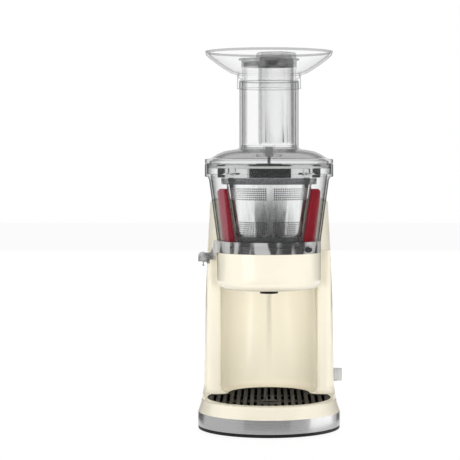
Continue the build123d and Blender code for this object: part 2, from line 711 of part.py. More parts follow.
# ---- gear case and train ----------------------------------------------------------------
def gear_case_plan(grow):
    """Hull of the gears and the motor seat, grown by a wall."""
    gap = CASE_GAP + grow
    rounds = (
        (0, M3 * (N7 / 2 + 1) + gap),
        (SECOND_Y, M2 * (N4 / 2 + 1) + gap),
        (FIRST_Y, M1 * (N2 / 2 + 1) + gap),
        (MOTOR_Y, MOTOR_SEAT_R - CASE_WALL + grow),
    )
    edges = [(Pos(0, y) * Circle(r)).edge() for y, r in rounds]
    return make_hull(edges)


def gear_case():
    outer = Pos(0, 0, CASE_Z) * extrude(gear_case_plan(CASE_WALL), CASE_TOP - CASE_Z)
    room = Pos(0, 0, CASE_Z + CASE_FLOOR) * extrude(gear_case_plan(0), CASE_TOP)
    case = outer - room
    case += rod(PIN_R + 2.5, CASE_Z, LEVEL_1 - SLIP, 0, FIRST_Y)
    case += rod(PIN_R + 2.5, CASE_Z, LEVEL_2 - SLIP, 0, SECOND_Y)
    case += rod(SHAFT_R + BEARING_WALL + 2, CASE_Z, CASE_Z + CASE_FLOOR + BEARING_H)
    case -= rod(SHAFT_R + BEARING_WALL, CASE_Z + CASE_FLOOR, CASE_TOP)
    for y in (FIRST_Y, SECOND_Y):
        case -= rod(PIN_R, CASE_Z + 1, CASE_TOP, 0, y)
    case -= rod(MOTOR_SHAFT_R + 4, CASE_Z - 1, CASE_TOP, 0, MOTOR_Y)
    return case


def gear_cover():
    lid = Pos(0, 0, CASE_TOP) * extrude(gear_case_plan(CASE_WALL), CASE_LID)
    lid -= rod(SHAFT_R + BEARING_WALL, CASE_TOP - 1, CASE_TOP + 10)
    for y in (FIRST_Y, SECOND_Y, IDLER_Y):
        lid -= rod(PIN_R, CASE_TOP - 1, CASE_TOP + 1.5, 0, y)
    return lid


def gear_pins():
    top = CASE_TOP + 1.5
    return Compound(
        children=[
            rod(PIN_R, CASE_Z + 1, top, 0, FIRST_Y),
            rod(PIN_R, CASE_Z + 1, top, 0, SECOND_Y),
            rod(PIN_R, LEVEL_2 + FACE_2 + 0.7, top, 0, IDLER_Y),
        ]
    )


def train():
    """Meshed gears, each with the phase that the one before it sets."""
    bore = PIN_R + RUN
    gears = {}
    phase = 90.0
    gears["motor_pinion"] = gear(M1, N1, phase, LEVEL_1, LEVEL_1 + FACE_1, MOTOR_SHAFT_R, 0, MOTOR_Y)
    phase = meshed(-90, N1, phase, N2)
    wheel = gear(M1, N2, phase, LEVEL_1, LEVEL_1 + FACE_1, bore, 0, FIRST_Y)
    hub = tube(bore, PIN_R + 2.2, LEVEL_1 + FACE_1, LEVEL_2, 0, FIRST_Y)
    pinion = gear(M2, N3, -90, LEVEL_2, LEVEL_2 + FACE_2, bore, 0, FIRST_Y)
    gears["first_gear"] = wheel + hub + pinion
    phase = meshed(-90, N3, -90, N4)
    wheel = gear(M2, N4, phase, LEVEL_2, LEVEL_2 + FACE_2, bore, 0, SECOND_Y)
    hub = tube(bore, PIN_R + 4, LEVEL_2 + FACE_2, LEVEL_3, 0, SECOND_Y)
    pinion = gear(M3, N5, -90, LEVEL_3, LEVEL_3 + FACE_3, bore, 0, SECOND_Y)
    gears["second_gear"] = wheel + hub + pinion
    phase = meshed(-90, N5, -90, N6)
    gears["transfer_gear"] = gear(M3, N6, phase, LEVEL_3, LEVEL_3 + FACE_3, bore, 0, IDLER_Y)
    phase = meshed(-90, N6, phase, N7)
    gears["output_gear"] = gear(M3, N7, phase, LEVEL_3, LEVEL_3 + FACE_3, SHAFT_R)
    return gears


def hexagon(across):
    return RegularPolygon(across / sqrt(3), 6)


def drive_shaft():
    low = CASE_Z + CASE_FLOOR
    shaft = rod(SHAFT_R, low, CHIMNEY_TOP + 1)
    shaft += Pos(0, 0, CHIMNEY_TOP + 1) * extrude(hexagon(HEX_AF), HEX_TOP - CHIMNEY_TOP - 1)
    tip = shaft.edges().group_by(Axis.Z)[-1]
    return chamfer(tip, 1.0)


def bearing(r_in, r_out, z0, z1, x=0.0, y=0.0):
    """Plain bearing bush with a groove round it."""
    bush = tube(r_in + RUN, r_out, z0, z1, x, y)
    return bush - tube(r_out - 0.5, r_out + 1, (z0 + z1) / 2 - 0.6, (z0 + z1) / 2 + 0.6, x, y)


def drive_bearings():
    low = CASE_Z + CASE_FLOOR
    return Compound(
        children=[
            bearing(SHAFT_R, SHAFT_R + BEARING_WALL, low, low + BEARING_H),
            bearing(SHAFT_R, SHAFT_R + BEARING_WALL, CASE_TOP, SHELF_Z - 0.5),
        ]
    )


# ---- motor ------------------------------------------------------------------------------
def motor_can():
    can = tube(MOTOR_R - CAN_WALL, MOTOR_R, CAN_Z0, CAN_Z1, 0, MOTOR_Y)
    for k in range(4):
        turn = Pos(0, MOTOR_Y, 0) * Rot(0, 0, 45 + 90 * k) * Pos(MOTOR_R, 0, CAN_Z1 - 12)
        can -= turn * Box(10, 14, 10)
    return can


def motor_bell(z0, z1, open_side):
    bell = rod(MOTOR_R, z0, z1, 0, MOTOR_Y)
    bell -= rod(MOTOR_SHAFT_R + BEARING_WALL, z0 - 1, z1 + 1, 0, MOTOR_Y)
    inner = z0 + 2.5 if open_side > 0 else z1 - 2.5
    low, high = (inner, z1 + 1) if open_side > 0 else (z0 - 1, inner)
    bell -= tube(MOTOR_SHAFT_R + BEARING_WALL + 3, MOTOR_R - 3, low, high, 0, MOTOR_Y)
    for k in range(4):
        at = Pos(0, MOTOR_Y, 0) * Rot(0, 0, 90 * k) * Pos(MOUNT_PCD_R, 0, z0)
        bell -= at * Cylinder(3, 3 * BELL_H)
    return bell


def stator():
    core = tube(STATOR_IN, MOTOR_R - CAN_WALL, STATOR_Z0, STATOR_Z1, 0, MOTOR_Y)
    for k in range(6):
        at = Pos(0, MOTOR_Y, 0) * Rot(0, 0, 60 * k) * Pos(SLOT_MID, 0, STATOR_Z0 - 1)
        core -= at * Box(SLOT_D, SLOT_W, STATOR_Z1 - STATOR_Z0 + 2, align=BASE)
    return core


def windings():
    """Copper coils that fill the slots and turn over at both ends."""
    coils = []
    for k in range(6):
        at = Pos(0, MOTOR_Y, 0) * Rot(0, 0, 60 * k) * Pos(SLOT_MID, 0, STATOR_Z0 - 6)
        coils.append(at * Box(SLOT_D - 0.3, SLOT_W - 0.3, STATOR_Z1 - STATOR_Z0 + 12, align=BASE))
    return Compound(children=coils)


SLOT_MID = STATOR_IN + 1.5 + SLOT_D / 2


def rotor():
    core = tube(MOTOR_SHAFT_R, STATOR_IN - AIR_GAP, STATOR_Z0, STATOR_Z1, 0, MOTOR_Y)
    return core + tube(MOTOR_SHAFT_R, MOTOR_SHAFT_R + 5, STATOR_Z0 - 3, STATOR_Z1 + 3, 0, MOTOR_Y)


def cooling_fan():
    fan = tube(MOTOR_SHAFT_R, 7, FAN_Z, FAN_Z + FAN_H, 0, MOTOR_Y)
    fan += tube(MOTOR_SHAFT_R, FAN_R, FAN_Z + FAN_H - 1.6, FAN_Z + FAN_H, 0, MOTOR_Y)
    for k in range(FAN_BLADES):
        turn = Pos(0, MOTOR_Y, FAN_Z) * Rot(0, 0, 360 * k / FAN_BLADES)
        fan += turn * Pos(6 + (FAN_R - 7) / 2, 0, 0) * Rot(0, 0, 18) * Box(FAN_R - 8, 1.6, FAN_H - 1, align=BASE)
    return fan


def motor_mounts():
    mounts = []
    for k in range(4):
        a = radians(45 + 90 * k)
        x, y = MOUNT_PCD_R * cos(a), MOTOR_Y + MOUNT_PCD_R * sin(a)
        top, low = CASE_Z, CAN_Z1 + BELL_H
        mounts.append(
            rod(MOUNT_R, low, low + 3, x, y) + rod(MOUNT_R - 1.2, low + 3, top - 3, x, y)
            + rod(MOUNT_R, top - 3, top, x, y)
        )
    return Compound(children=mounts)


# ---- switch, board, gland ---------------------------------------------------------------
def switch_body():
    x1 = half_at(SWITCH_Z + 11) - WALL - 0.3
    body = block(x1 - 9, x1, SWITCH_Y - 8, SWITCH_Y + 8, SWITCH_Z - 11, SWITCH_Z + 11)
    body -= along_x(STEM_R + SLIP, x1 - 7, x1 + 1, SWITCH_Y, SWITCH_Z)
    for dz in (-7, 0, 7):
        body += block(x1 - 12, x1 - 9, SWITCH_Y - 3, SWITCH_Y + 3, SWITCH_Z + dz - 0.4, SWITCH_Z + dz + 0.4)
    return body


def switch_knob():
    """Round knob with a finger bar; turns about X."""
    side = half_at(SWITCH_Z - KNOB_R) + SLIP
    out = half_at(SWITCH_Z) + KNOB_OUT
    face = Pos(side, SWITCH_Y, SWITCH_Z) * Rot(0, 90, 0)
    lean = degrees(atan(KNOB_DRAFT / (out - side)))
    knob = face * extrude(Circle(KNOB_R), out - side, taper=lean)
    grooves = both_sides_y(block(out - 5.5, out + 1, SWITCH_Y + 2.2, SWITCH_Y + 9, SWITCH_Z - 9, SWITCH_Z + 9))
    knob -= grooves
    stem_in = half_at(SWITCH_Z + 11) - WALL - 0.3 - 6
    return knob + along_x(STEM_R, stem_in, side + 0.5, SWITCH_Y, SWITCH_Z)


def both_sides_y(shape):
    return shape + mirror(shape, Plane((0, SWITCH_Y, 0), z_dir=(0, 1, 0)))


def control_board():
    z = BOSS_Z
    board = block(-BOARD_X / 2, BOARD_X / 2, BOARD_AT_Y - BOARD_Y / 2, BOARD_AT_Y + BOARD_Y / 2, z, z + BOARD_T)
    top = z + BOARD_T
    board += rod(6, top, top + 14, -16, BOARD_AT_Y)
    board += block(2, 20, BOARD_AT_Y - 8, BOARD_AT_Y + 8, top, top + 11)
    board += block(-8, -3, BOARD_AT_Y - 14, BOARD_AT_Y + 14, top, top + 6)
    return board


def cord_gland():
    y_out = BASE_BACK - BASE_HALF + half_at(GLAND_Z) + 2.4
    body = along_y(GLAND_R - SCREW_GAP, y_out - 8.6, y_out, GLAND_X, GLAND_Z)
    body += along_y(GLAND_R + 2, y_out - 2.2, y_out, GLAND_X, GLAND_Z)
    body += along_y(GLAND_R + 1.5, y_out - 8.6, y_out - 5.7, GLAND_X, GLAND_Z)
    return body - along_y(GLAND_BORE, y_out - 20, y_out + 5, GLAND_X, GLAND_Z)


# ---- bowl -------------------------------------------------------------------------------
def bowl():
    z0 = SHELF_Z + BOWL_GAP
    w = BOWL_WALL
    shell = lathe(
        (BOWL_FOOT_R, z0), (BOWL_FOOT_R, SUMP_TOP), (BOWL_SHOULDER_R, BOWL_SHOULDER_Z),
        (BAND_R - 3.0, BAND_LOW), (BAND_R, BAND_LOW), (BAND_R, BAND_TOP), (BAND_R - w, BAND_TOP),
        (BAND_R - w, LEDGE_Z), (BOWL_SHOULDER_R - w + 0.8, LEDGE_Z),
        (BOWL_SHOULDER_R - w, BOWL_SHOULDER_Z), (BOWL_FOOT_R - w, SUMP_TOP),
        (BOWL_FOOT_R - w, FLOOR_TOP), (CHIMNEY_R, FLOOR_TOP), (CHIMNEY_R, CHIMNEY_TOP),
        (CHIMNEY_BORE, CHIMNEY_TOP), (CHIMNEY_BORE, FLOOR_TOP - FLOOR_T),
        (BOWL_FOOT_R - w, FLOOR_TOP - FLOOR_T), (BOWL_FOOT_R - w, z0),
    )
    # pulp duct under the floor, from the hole beside the chimney out to the chute
    low, high = z0, FLOOR_TOP - FLOOR_T
    run = Pos(0, (DUCT_Y1 + CHUTE_Y) / 2) * Rectangle(2 * DUCT_HALF + 3, DUCT_Y1 - CHUTE_Y)
    outer = Pos(0, 0, low) * extrude(run + Pos(0, CHUTE_Y) * Circle(CHUTE_R), high - low)
    duct_in = Pos(0, (DUCT_Y1 - 1.5 + CHUTE_Y) / 2) * Rectangle(2 * DUCT_HALF, DUCT_Y1 - 1.5 - CHUTE_Y)
    inner = duct_in + Pos(0, CHUTE_Y) * Circle(CHUTE_R - 1.6)
    shell += outer
    shell -= Pos(0, 0, low + 1.5) * extrude(inner, high - low - 1.5)
    shell -= rod(CHUTE_R - 1.6, low - 1, high - 0.5, 0, CHUTE_Y)
    shell -= block(-DUCT_HALF, DUCT_HALF, DUCT_Y0, DUCT_Y1 - 1.5, low + 1.5, FLOOR_TOP + 1)
    # juice spout on the left: a web down the wall, a barrel beside the drum and a hood
    shell += spout_solid() - rod(BOWL_FOOT_R - w / 2, z0 - 1, SUMP_TOP + 10)
    shell -= along_x(SPOUT_BORE, SPOUT_OUT, SPOUT_IN - 1.5, SPOUT_Y, SPOUT_Z)
    shell -= rod(HOOD_BORE, MOUTH_Z - 1, SPOUT_Z, SPOUT_OUT, SPOUT_Y)
    shell -= block(SPOUT_IN - 2.6, SPOUT_IN - 0.2, SPOUT_Y - 3, SPOUT_Y + 3, SPOUT_Z, FLOOR_TOP + 3.5)
    shell -= block(SPOUT_IN - 2.6, SPOUT_IN + 6, SPOUT_Y - 3, SPOUT_Y + 3, FLOOR_TOP + 0.5, FLOOR_TOP + 3.5)
    for sx in (-1, 1):
        shell += rod(IDLER_BORE + 1.4, FLOOR_TOP - 0.5, DRIVE_Z0 - SLIP / 2, sx * PLANET_X)
        shell -= rod(IDLER_BORE - RUN, FLOOR_TOP - 1.5, DRIVE_Z0 + 1, sx * PLANET_X)
    return shell - plug_solid(SCREW_GAP)


def spout_solid():
    x0, x1 = SPOUT_IN, SPOUT_OUT
    inner, outer = BOWL_FOOT_R - 2.3, BOWL_FOOT_R + 3.0
    knee = (-outer - 2.8, SHELF_Z + 3.2)
    web = make_face(
        Polyline((-inner, SUMP_TOP + 0.5), (-outer, SUMP_TOP + 0.5), (-outer - 1.2, SHELF_Z + 7), knee)
        + ThreePointArc(knee, (knee[0] - 2.6, knee[1] - 2.8), (x1 + 4, SPOUT_Z + SPOUT_R - 0.3))
        + Polyline((x1 + 4, SPOUT_Z + SPOUT_R - 0.3), (x1 + 4, SPOUT_Z), (x0, SPOUT_Z), (x0, SHELF_Z + BOWL_GAP))
        + Polyline((x0, SHELF_Z + BOWL_GAP), (-inner, SHELF_Z + BOWL_GAP), (-inner, SUMP_TOP + 0.5))
    )
    solid = Pos(0, SPOUT_Y, 0) * extrude(Plane.XZ * web, WEB_HALF, both=True)
    solid += along_x(SPOUT_R, x1, x0, SPOUT_Y, SPOUT_Z)
    solid += rod(HOOD_R, MOUTH_Z, SPOUT_Z, x1, SPOUT_Y) + Pos(x1, SPOUT_Y, SPOUT_Z) * Sphere(HOOD_R)
    for side in (-1, 1):
        y = SPOUT_Y + side * 3.6
        lug = block(FLAP_X - 1.5, FLAP_X + 1.5, y - 0.9, y + 0.9, FLAP_Z - 1.8, SPOUT_Z)
        solid += lug - along_y(FLAP_PIN_R, y - 3, y + 3, FLAP_X, FLAP_Z)
    return solid


def plug_solid(grow):
    """Oval rubber plug in the wall of the sump, at the front right."""
    turn = Rot(0, 0, PLUG_DEG) * Pos(BOWL_FOOT_R - 4, 0, SHELF_Z + PLUG_UP) * Rot(0, 90, 0)
    return turn * extrude(Ellipse(3.0 + grow, 6.0 + grow), 4.6 + grow)


def spout_flap():
    """Drip stop that closes the mouth from below and hangs from its pin."""
    top = MOUTH_Z - SLIP / 3
    disc = rod(FLAP_R, top - FLAP_T, top, SPOUT_OUT, SPOUT_Y)
    arm = block(SPOUT_OUT, FLAP_X, SPOUT_Y - 2.2, SPOUT_Y + 2.2, top - FLAP_T - 1.0, top - 0.4)
    arm += along_y(1.7, SPOUT_Y - 2.4, SPOUT_Y + 2.4, FLAP_X, FLAP_Z)
    flap = disc + arm - along_y(FLAP_PIN_R + RUN, SPOUT_Y - 9, SPOUT_Y + 9, FLAP_X, FLAP_Z)
    ball_z = MOUTH_Z - BALL_DROP
    stem = rod(0.8, ball_z + 0.4, top - FLAP_T + 0.2, SPOUT_OUT + 0.8, SPOUT_Y)
    return flap + stem + Pos(SPOUT_OUT + 0.8, SPOUT_Y, ball_z) * Sphere(BALL_R)


def spout_pin():
    return along_y(FLAP_PIN_R, SPOUT_Y - 4.5, SPOUT_Y + 4.5, FLAP_X, FLAP_Z)


def bowl_seal():
    return tube(SHAFT_R + SLIP, CHIMNEY_BORE, CHIMNEY_TOP - 5, CHIMNEY_TOP - 1.5) + tube(
        SHAFT_R + SLIP, CHIMNEY_R, CHIMNEY_TOP, CHIMNEY_TOP + 0.5
    ) + tube(SHAFT_R + SLIP, CHIMNEY_BORE, CHIMNEY_TOP - 2, CHIMNEY_TOP + 0.5)


# ---- strainer ---------------------------------------------------------------------------
def strainer_r(z):
    """Outside radius of the strainer cone."""
    return at_height(z, (STRAINER_BASE_R, STRAINER_BASE_Z), (STRAINER_TOP_R, STRAINER_TOP_Z))


def perforations(rows, band):
    """Staggered rows of holes round the cone, with a plain strip at each seam."""
    low, high = band
    pins = []
    for row in range(rows):
        z = low + (row + 0.5) * (high - low) / rows
        for k in range(HOLES_ROUND):
            angle = 360 * (k + 0.5 * (row % 2)) / HOLES_ROUND
            from_seam = min(abs((angle - s + 180) % 360 - 180) for s in (90, 270))
            if from_seam > GAP_HALF_DEG:
                pins.append(
                    Rot(0, 0, angle) * Pos(strainer_r(z) - 3, 0, z) * Rot(0, 90, 0)
                    * extrude(RegularPolygon(HOLE_R, 6), 6)
                )
    return pins


def strainer_cup():
    z0, z1 = STRAINER_BASE_Z, STRAINER_TOP_Z
    r0, r1 = STRAINER_BASE_R, STRAINER_TOP_R
    hole = MP * NS / 2 + MP + SLIP
    cup = lathe(
        (r0, z0), (r1, z1), (RIM_R - SHEET, z1), (RIM_R - SHEET, z1 + SHEET),
        (r1 - SHEET, z1 + SHEET), (r0 - SHEET, z0 + SHEET), (hole, z0 + SHEET), (hole, z0),
    )
    cup -= block(-DUCT_HALF + 1.8, DUCT_HALF - 1.8, DUCT_Y0 + 1.8, DUCT_Y1 - 3.2, z0 - 1, z0 + 5)
    skirt = block(-DUCT_HALF + 0.6, DUCT_HALF - 0.6, DUCT_Y0 + 0.6, DUCT_Y1 - 2.1, FLOOR_TOP - 1.5, z0)
    skirt -= block(-DUCT_HALF + 1.8, DUCT_HALF - 1.8, DUCT_Y0 + 1.8, DUCT_Y1 - 3.2, FLOOR_TOP - 2, z0 + 1)
    holes = perforations(HOLE_ROWS_UP, PERF_UP) + perforations(HOLE_ROWS_LOW, PERF_LOW)
    return (cup - holes) + skirt


def strainer_rim():
    z0 = STRAINER_TOP_Z
    band = tube(RIM_R - SHEET, RIM_R, z0, z0 + RIM_H)
    for k in range(EARS):
        ear = block(RIM_R - SHEET / 2, BAND_R - BOWL_WALL - SLIP, -EAR_HALF, EAR_HALF, LEDGE_Z, LEDGE_Z + 2)
        band += Rot(0, 0, 45 + 360 * k / EARS) * ear
    return band


# ---- basket -----------------------------------------------------------------------------
def basket_r(z):
    """Inside radius of the basket cone."""
    return strainer_r(z) + BASKET_GAP


def basket_cone(extra, z0, z1):
    return lathe((0, z0), (basket_r(z0) + extra, z0), (basket_r(z1) + extra, z1), (0, z1))


def brush_basket():
    z0, z1 = BASKET_BASE_Z, BASKET_TOP_Z
    shell = basket_cone(BASKET_T, z0, z1) - basket_cone(0, z0 - 1, z1 + 1)
    ring = tube(basket_r(z1), BASKET_RING_R, BASKET_RING_Z, z1)
    low, high = z0 + BASKET_SILL, BASKET_RING_Z
    reach = (BASKET_TOP_R_OUT) * sin(radians(90 - POST_HALF_DEG))
    foot = reach * basket_r(low) / basket_r(high)
    window = make_face(Polyline((-foot, low), (foot, low), (reach, high), (-reach, high), close=True))
    window = fillet(window.vertices().group_by(Axis.Y)[0], WINDOW_ROUND)
    shell -= extrude(Plane.XZ * window, 80, both=True)
    return shell + (ring - basket_cone(0.0, z0, z1 + 1))


BASKET_TOP_R_OUT = STRAINER_TOP_R + BASKET_GAP


def basket_gear():
    ring = ring_gear(MP, NR, ring_phase(), DRIVE_Z0, BASKET_BASE_Z, RING_OUT)
    return ring


def wiper_blade(side):
    low_in, top_in = basket_r(BLADE_LOW), basket_r(BLADE_TOP)
    face = make_face(
        Polyline(
            (low_in, BLADE_LOW), (BLADE_LOW_R, BLADE_LOW), (BLADE_TOP_R, BLADE_TOP - 3),
            (BLADE_TOP_R - 3, BLADE_TOP), (top_in, BLADE_TOP), close=True,
        )
    )
    blade = extrude(Plane.XZ * face, BLADE_T / 2, both=True)
    lip = extrude(Plane.XZ * face, BLADE_T, both=True) & (
        basket_cone(BASKET_T + 3, BLADE_LOW, BLADE_TOP)
    )
    blade += lip
    blade -= basket_cone(BASKET_T + 0.02, BLADE_LOW - 5, BLADE_TOP + 5)
    blade -= rod(RING_OUT + SLIP, BLADE_LOW - 5, BASKET_BASE_Z)
    return Rot(0, 0, 0 if side > 0 else 180) * blade


# ---- auger ------------------------------------------------------------------------------
def auger_envelope(gap):
    low, top = AUGER_BASE, STRAINER_TOP_Z
    return lathe(
        (0, low), (strainer_r(low) - SHEET - gap, low), (strainer_r(top) - SHEET - gap, top),
        (strainer_r(top) - SHEET - gap - 1, FLIGHT_TOP_Z), (0, FLIGHT_TOP_Z),
    )


def auger():
    curve = [
        (AUGER_HUB_R + out * (CORE_LOW_R - AUGER_HUB_R), AUGER_BASE + up * (AUGER_HUB_Z - AUGER_BASE))
        for up, out in CORE_SHAPE
    ]
    core = revolve(
        Plane.XZ * make_face(
            Polyline((0, AUGER_BASE), (CORE_LOW_R, AUGER_BASE), curve[0])
            + Spline(*curve)
            + Polyline(curve[-1], (AUGER_HUB_R, AUGER_HUB_Z), (0, AUGER_HUB_Z), (0, AUGER_BASE))
        ),
        Axis.Z,
    )
    reach = STRAINER_TOP_R + 5
    spoke = make_face(
        Polyline(
            (0, -FLIGHT_W_IN / 2), (reach, -FLIGHT_W_OUT / 2), (reach, FLIGHT_W_OUT / 2), (0, FLIGHT_W_IN / 2),
            close=True,
        )
    )
    height = FLIGHT_TOP_Z + 4 - AUGER_BASE
    screw_body = Solid.extrude_linear_with_rotation(
        (Pos(0, 0, AUGER_BASE) * spoke).faces()[0], (0, 0, AUGER_BASE), (0, 0, height), FLIGHT_TURN
    )
    envelope = auger_envelope(FLIGHT_GAP)
    body = core
    for k in range(FLIGHTS):
        body += (Rot(0, 0, 360 * k / FLIGHTS) * screw_body) & envelope
    body += rod(AUGER_NECK_R, DRIVE_Z1, AUGER_BASE + 1)
    body -= rod(CHIMNEY_R + 0.8, DRIVE_Z0 - 1, CHIMNEY_TOP + 2)
    body -= Pos(0, 0, CHIMNEY_TOP) * extrude(hexagon(HEX_AF + 2 * HEX_FIT), HEX_TOP + 1 - CHIMNEY_TOP)
    return body - rod(PIVOT_R, PIVOT_Z0, AUGER_HUB_Z + 1)


AUGER_NECK_R = MP * NS / 2 - 1.05 * MP - 0.2


def auger_gear():
    return gear(MP, NS, 0, DRIVE_Z0, DRIVE_Z1, CHIMNEY_R + 0.8)


def auger_pivot():
    pin = rod(PIVOT_R, PIVOT_Z0, PIVOT_Z1)
    return chamfer(pin.edges().group_by(Axis.Z)[-1], 0.6)


def planet_phase(side):
    direction = 0 if side > 0 else 180
    return meshed(direction, NS, 0, NP)


def ring_phase():
    return meshed_ring(0, NP, planet_phase(1), NR)


def basket_idler(side):
    return gear(MP, NP, planet_phase(side), DRIVE_Z0, DRIVE_Z1, IDLER_BORE + RUN, side * PLANET_X)


def idler_pins():
    pins = []
    for side in (-1, 1):
        x = side * PLANET_X
        pins.append(rod(IDLER_BORE - RUN, FLOOR_TOP - 1.5, DRIVE_Z1, x) )
    return Compound(children=pins)


# ---- lid --------------------------------------------------------------------------------
def lid():
    z0 = BAND_TOP + LID_GAP
    z1 = z0 + LID_FLANGE_H
    w = LID_WALL
    in_r = BAND_R - BOWL_WALL - SLIP
    dome_mid = ((DOME_R + TUBE_R) / 2 + 2.0, DOME_Z + (NECK_Z - DOME_Z) * 0.66)
    outer = (
        Polyline((TUBE_R - w, NECK_Z), (TUBE_R - w, TUBE_TOP), (TUBE_R, TUBE_TOP), (TUBE_R, NECK_Z))
        + ThreePointArc((TUBE_R, NECK_Z), dome_mid, (DOME_R, DOME_Z))
        + Polyline(
            (DOME_R, DOME_Z), (LID_FLANGE_R - 0.8, z1), (LID_FLANGE_R, z1 - 0.8), (LID_FLANGE_R, z0),
            (in_r, z0), (in_r, z0 - SKIRT_DROP), (in_r - w, z0 - SKIRT_DROP), (in_r - w, z1 - w),
        )
        + Polyline((in_r - w, z1 - w), (DOME_R - 1, DOME_Z - w))
        + ThreePointArc(
            (DOME_R - 1, DOME_Z - w), (dome_mid[0] - 0.8, dome_mid[1] - w), (TUBE_R - w, NECK_Z - w)
        )
        + Polyline((TUBE_R - w, NECK_Z - w), (TUBE_R - w, NECK_Z))
    )
    shell = revolve(Plane.XZ * make_face(outer), Axis.Z)
    shell += tube(TUBE_R - w - TUBE_LEDGE, TUBE_R - w / 2, BRIDGE_Z1 - 3, BRIDGE_Z1)
    bridge = block(-TUBE_R + w / 2, TUBE_R - w / 2, -BRIDGE_HALF / 2, BRIDGE_HALF / 2, BRIDGE_Z0 + 1.5, BRIDGE_Z1)
    hub_z = BRIDGE_Z0 - BRIDGE_HUB_DOWN
    bridge += rod(BRIDGE_HUB_R, hub_z, BRIDGE_Z1)
    bridge += rod(BRIDGE_DISC_R, hub_z, hub_z + BRIDGE_DISC_T)
    bridge -= rod(BUSH_R, hub_z - 1, BRIDGE_Z1 - 1.5)
    return shell + bridge


def lid_bush():
    hub_z = BRIDGE_Z0 - BRIDGE_HUB_DOWN
    return rod(BUSH_R, hub_z, BRIDGE_Z1 - 1.5) - rod(PIVOT_R + SLIP, hub_z - 1, PIVOT_Z1 + 0.5)


def lid_seal():
    """Silicone ring in the corner of the lid's skirt."""
    z = BAND_TOP + LID_GAP - SKIRT_DROP
    in_r = BAND_R - BOWL_WALL - SLIP - LID_WALL
    return tube(in_r - 1.6, in_r, z, z + 2.4)


# ---- tray and pushers -------------------------------------------------------------------
def tray():
    rim_low = TRAY_TOP - TRAY_RIM_H
    t = TRAY_T
    bore = TUBE_R + SLIP
    dish = lathe(
        (COLLAR_R, COLLAR_Z), (COLLAR_R, TRAY_NECK_Z), (TRAY_R - 1.2, rim_low), (TRAY_R, TRAY_TOP),
        (TRAY_R - t, TRAY_TOP), (TRAY_R - t - 1.2, rim_low + 1), (COLLAR_R - 0.6, TRAY_NECK_Z + t),
        (COLLAR_R - COLLAR_THIN, TRAY_NECK_Z + t - 1.5), (COLLAR_R - COLLAR_THIN, COLLAR_STEP_Z + 4.2),
        (TRAY_LEDGE_R, COLLAR_STEP_Z + 3.2), (TRAY_LEDGE_R, TUBE_TOP + SLIP), (bore, TUBE_TOP + SLIP),
        (bore, COLLAR_Z),
    )
    return dish


def pusher_large():
    z0 = BRIDGE_Z1 + SLIP
    w = PUSHER_WALL
    body = lathe(
        (0, z0), (PUSHER_R, z0), (PUSHER_R, PUSHER_HEAD_Z - 3), (PUSHER_HEAD_R, PUSHER_HEAD_Z),
        (PUSHER_HEAD_R, PUSHER_TOP - PUSHER_LIP_H - 1.2), (PUSHER_LIP_R, PUSHER_TOP - PUSHER_LIP_H),
        (PUSHER_LIP_R, PUSHER_TOP), (0, PUSHER_TOP),
    )
    hollow = rod(PUSHER_R - w, z0 + w, PUSHER_TOP - 4)
    well = rod(SMALL_BORE + 1.4, z0, PUSHER_TOP, SMALL_X)
    body = body - (hollow - well)
    return body - rod(SMALL_BORE, z0 - 1, PUSHER_TOP + 1, SMALL_X)


def pusher_small():
    z0 = BRIDGE_Z1 + SLIP + 1.0
    r = SMALL_BORE - SLIP - 0.1
    body = rod(r, z0, PUSHER_TOP + SLIP, SMALL_X)
    body -= rod(r - SMALL_WALL, z0 + SMALL_WALL, PUSHER_TOP + SLIP + 1, SMALL_X)
    cap = rod(SMALL_CAP_R, PUSHER_TOP + SLIP, SMALL_CAP_TOP, SMALL_X)
    cap = fillet(cap.edges().group_by(Axis.Z)[-1], SMALL_CAP_ROUND)
    cap -= rod(r - SMALL_WALL, PUSHER_TOP - 1, SMALL_CAP_TOP - 2.2, SMALL_X)
    return body + cap


def save(name, shape):
    solids = [Pos(0, -FOOTPRINT_Y, 0) * solid for solid in shape.solids()]
    export_step(solids[0] if len(solids) == 1 else Compound(children=solids), f"parts/{name}.step")


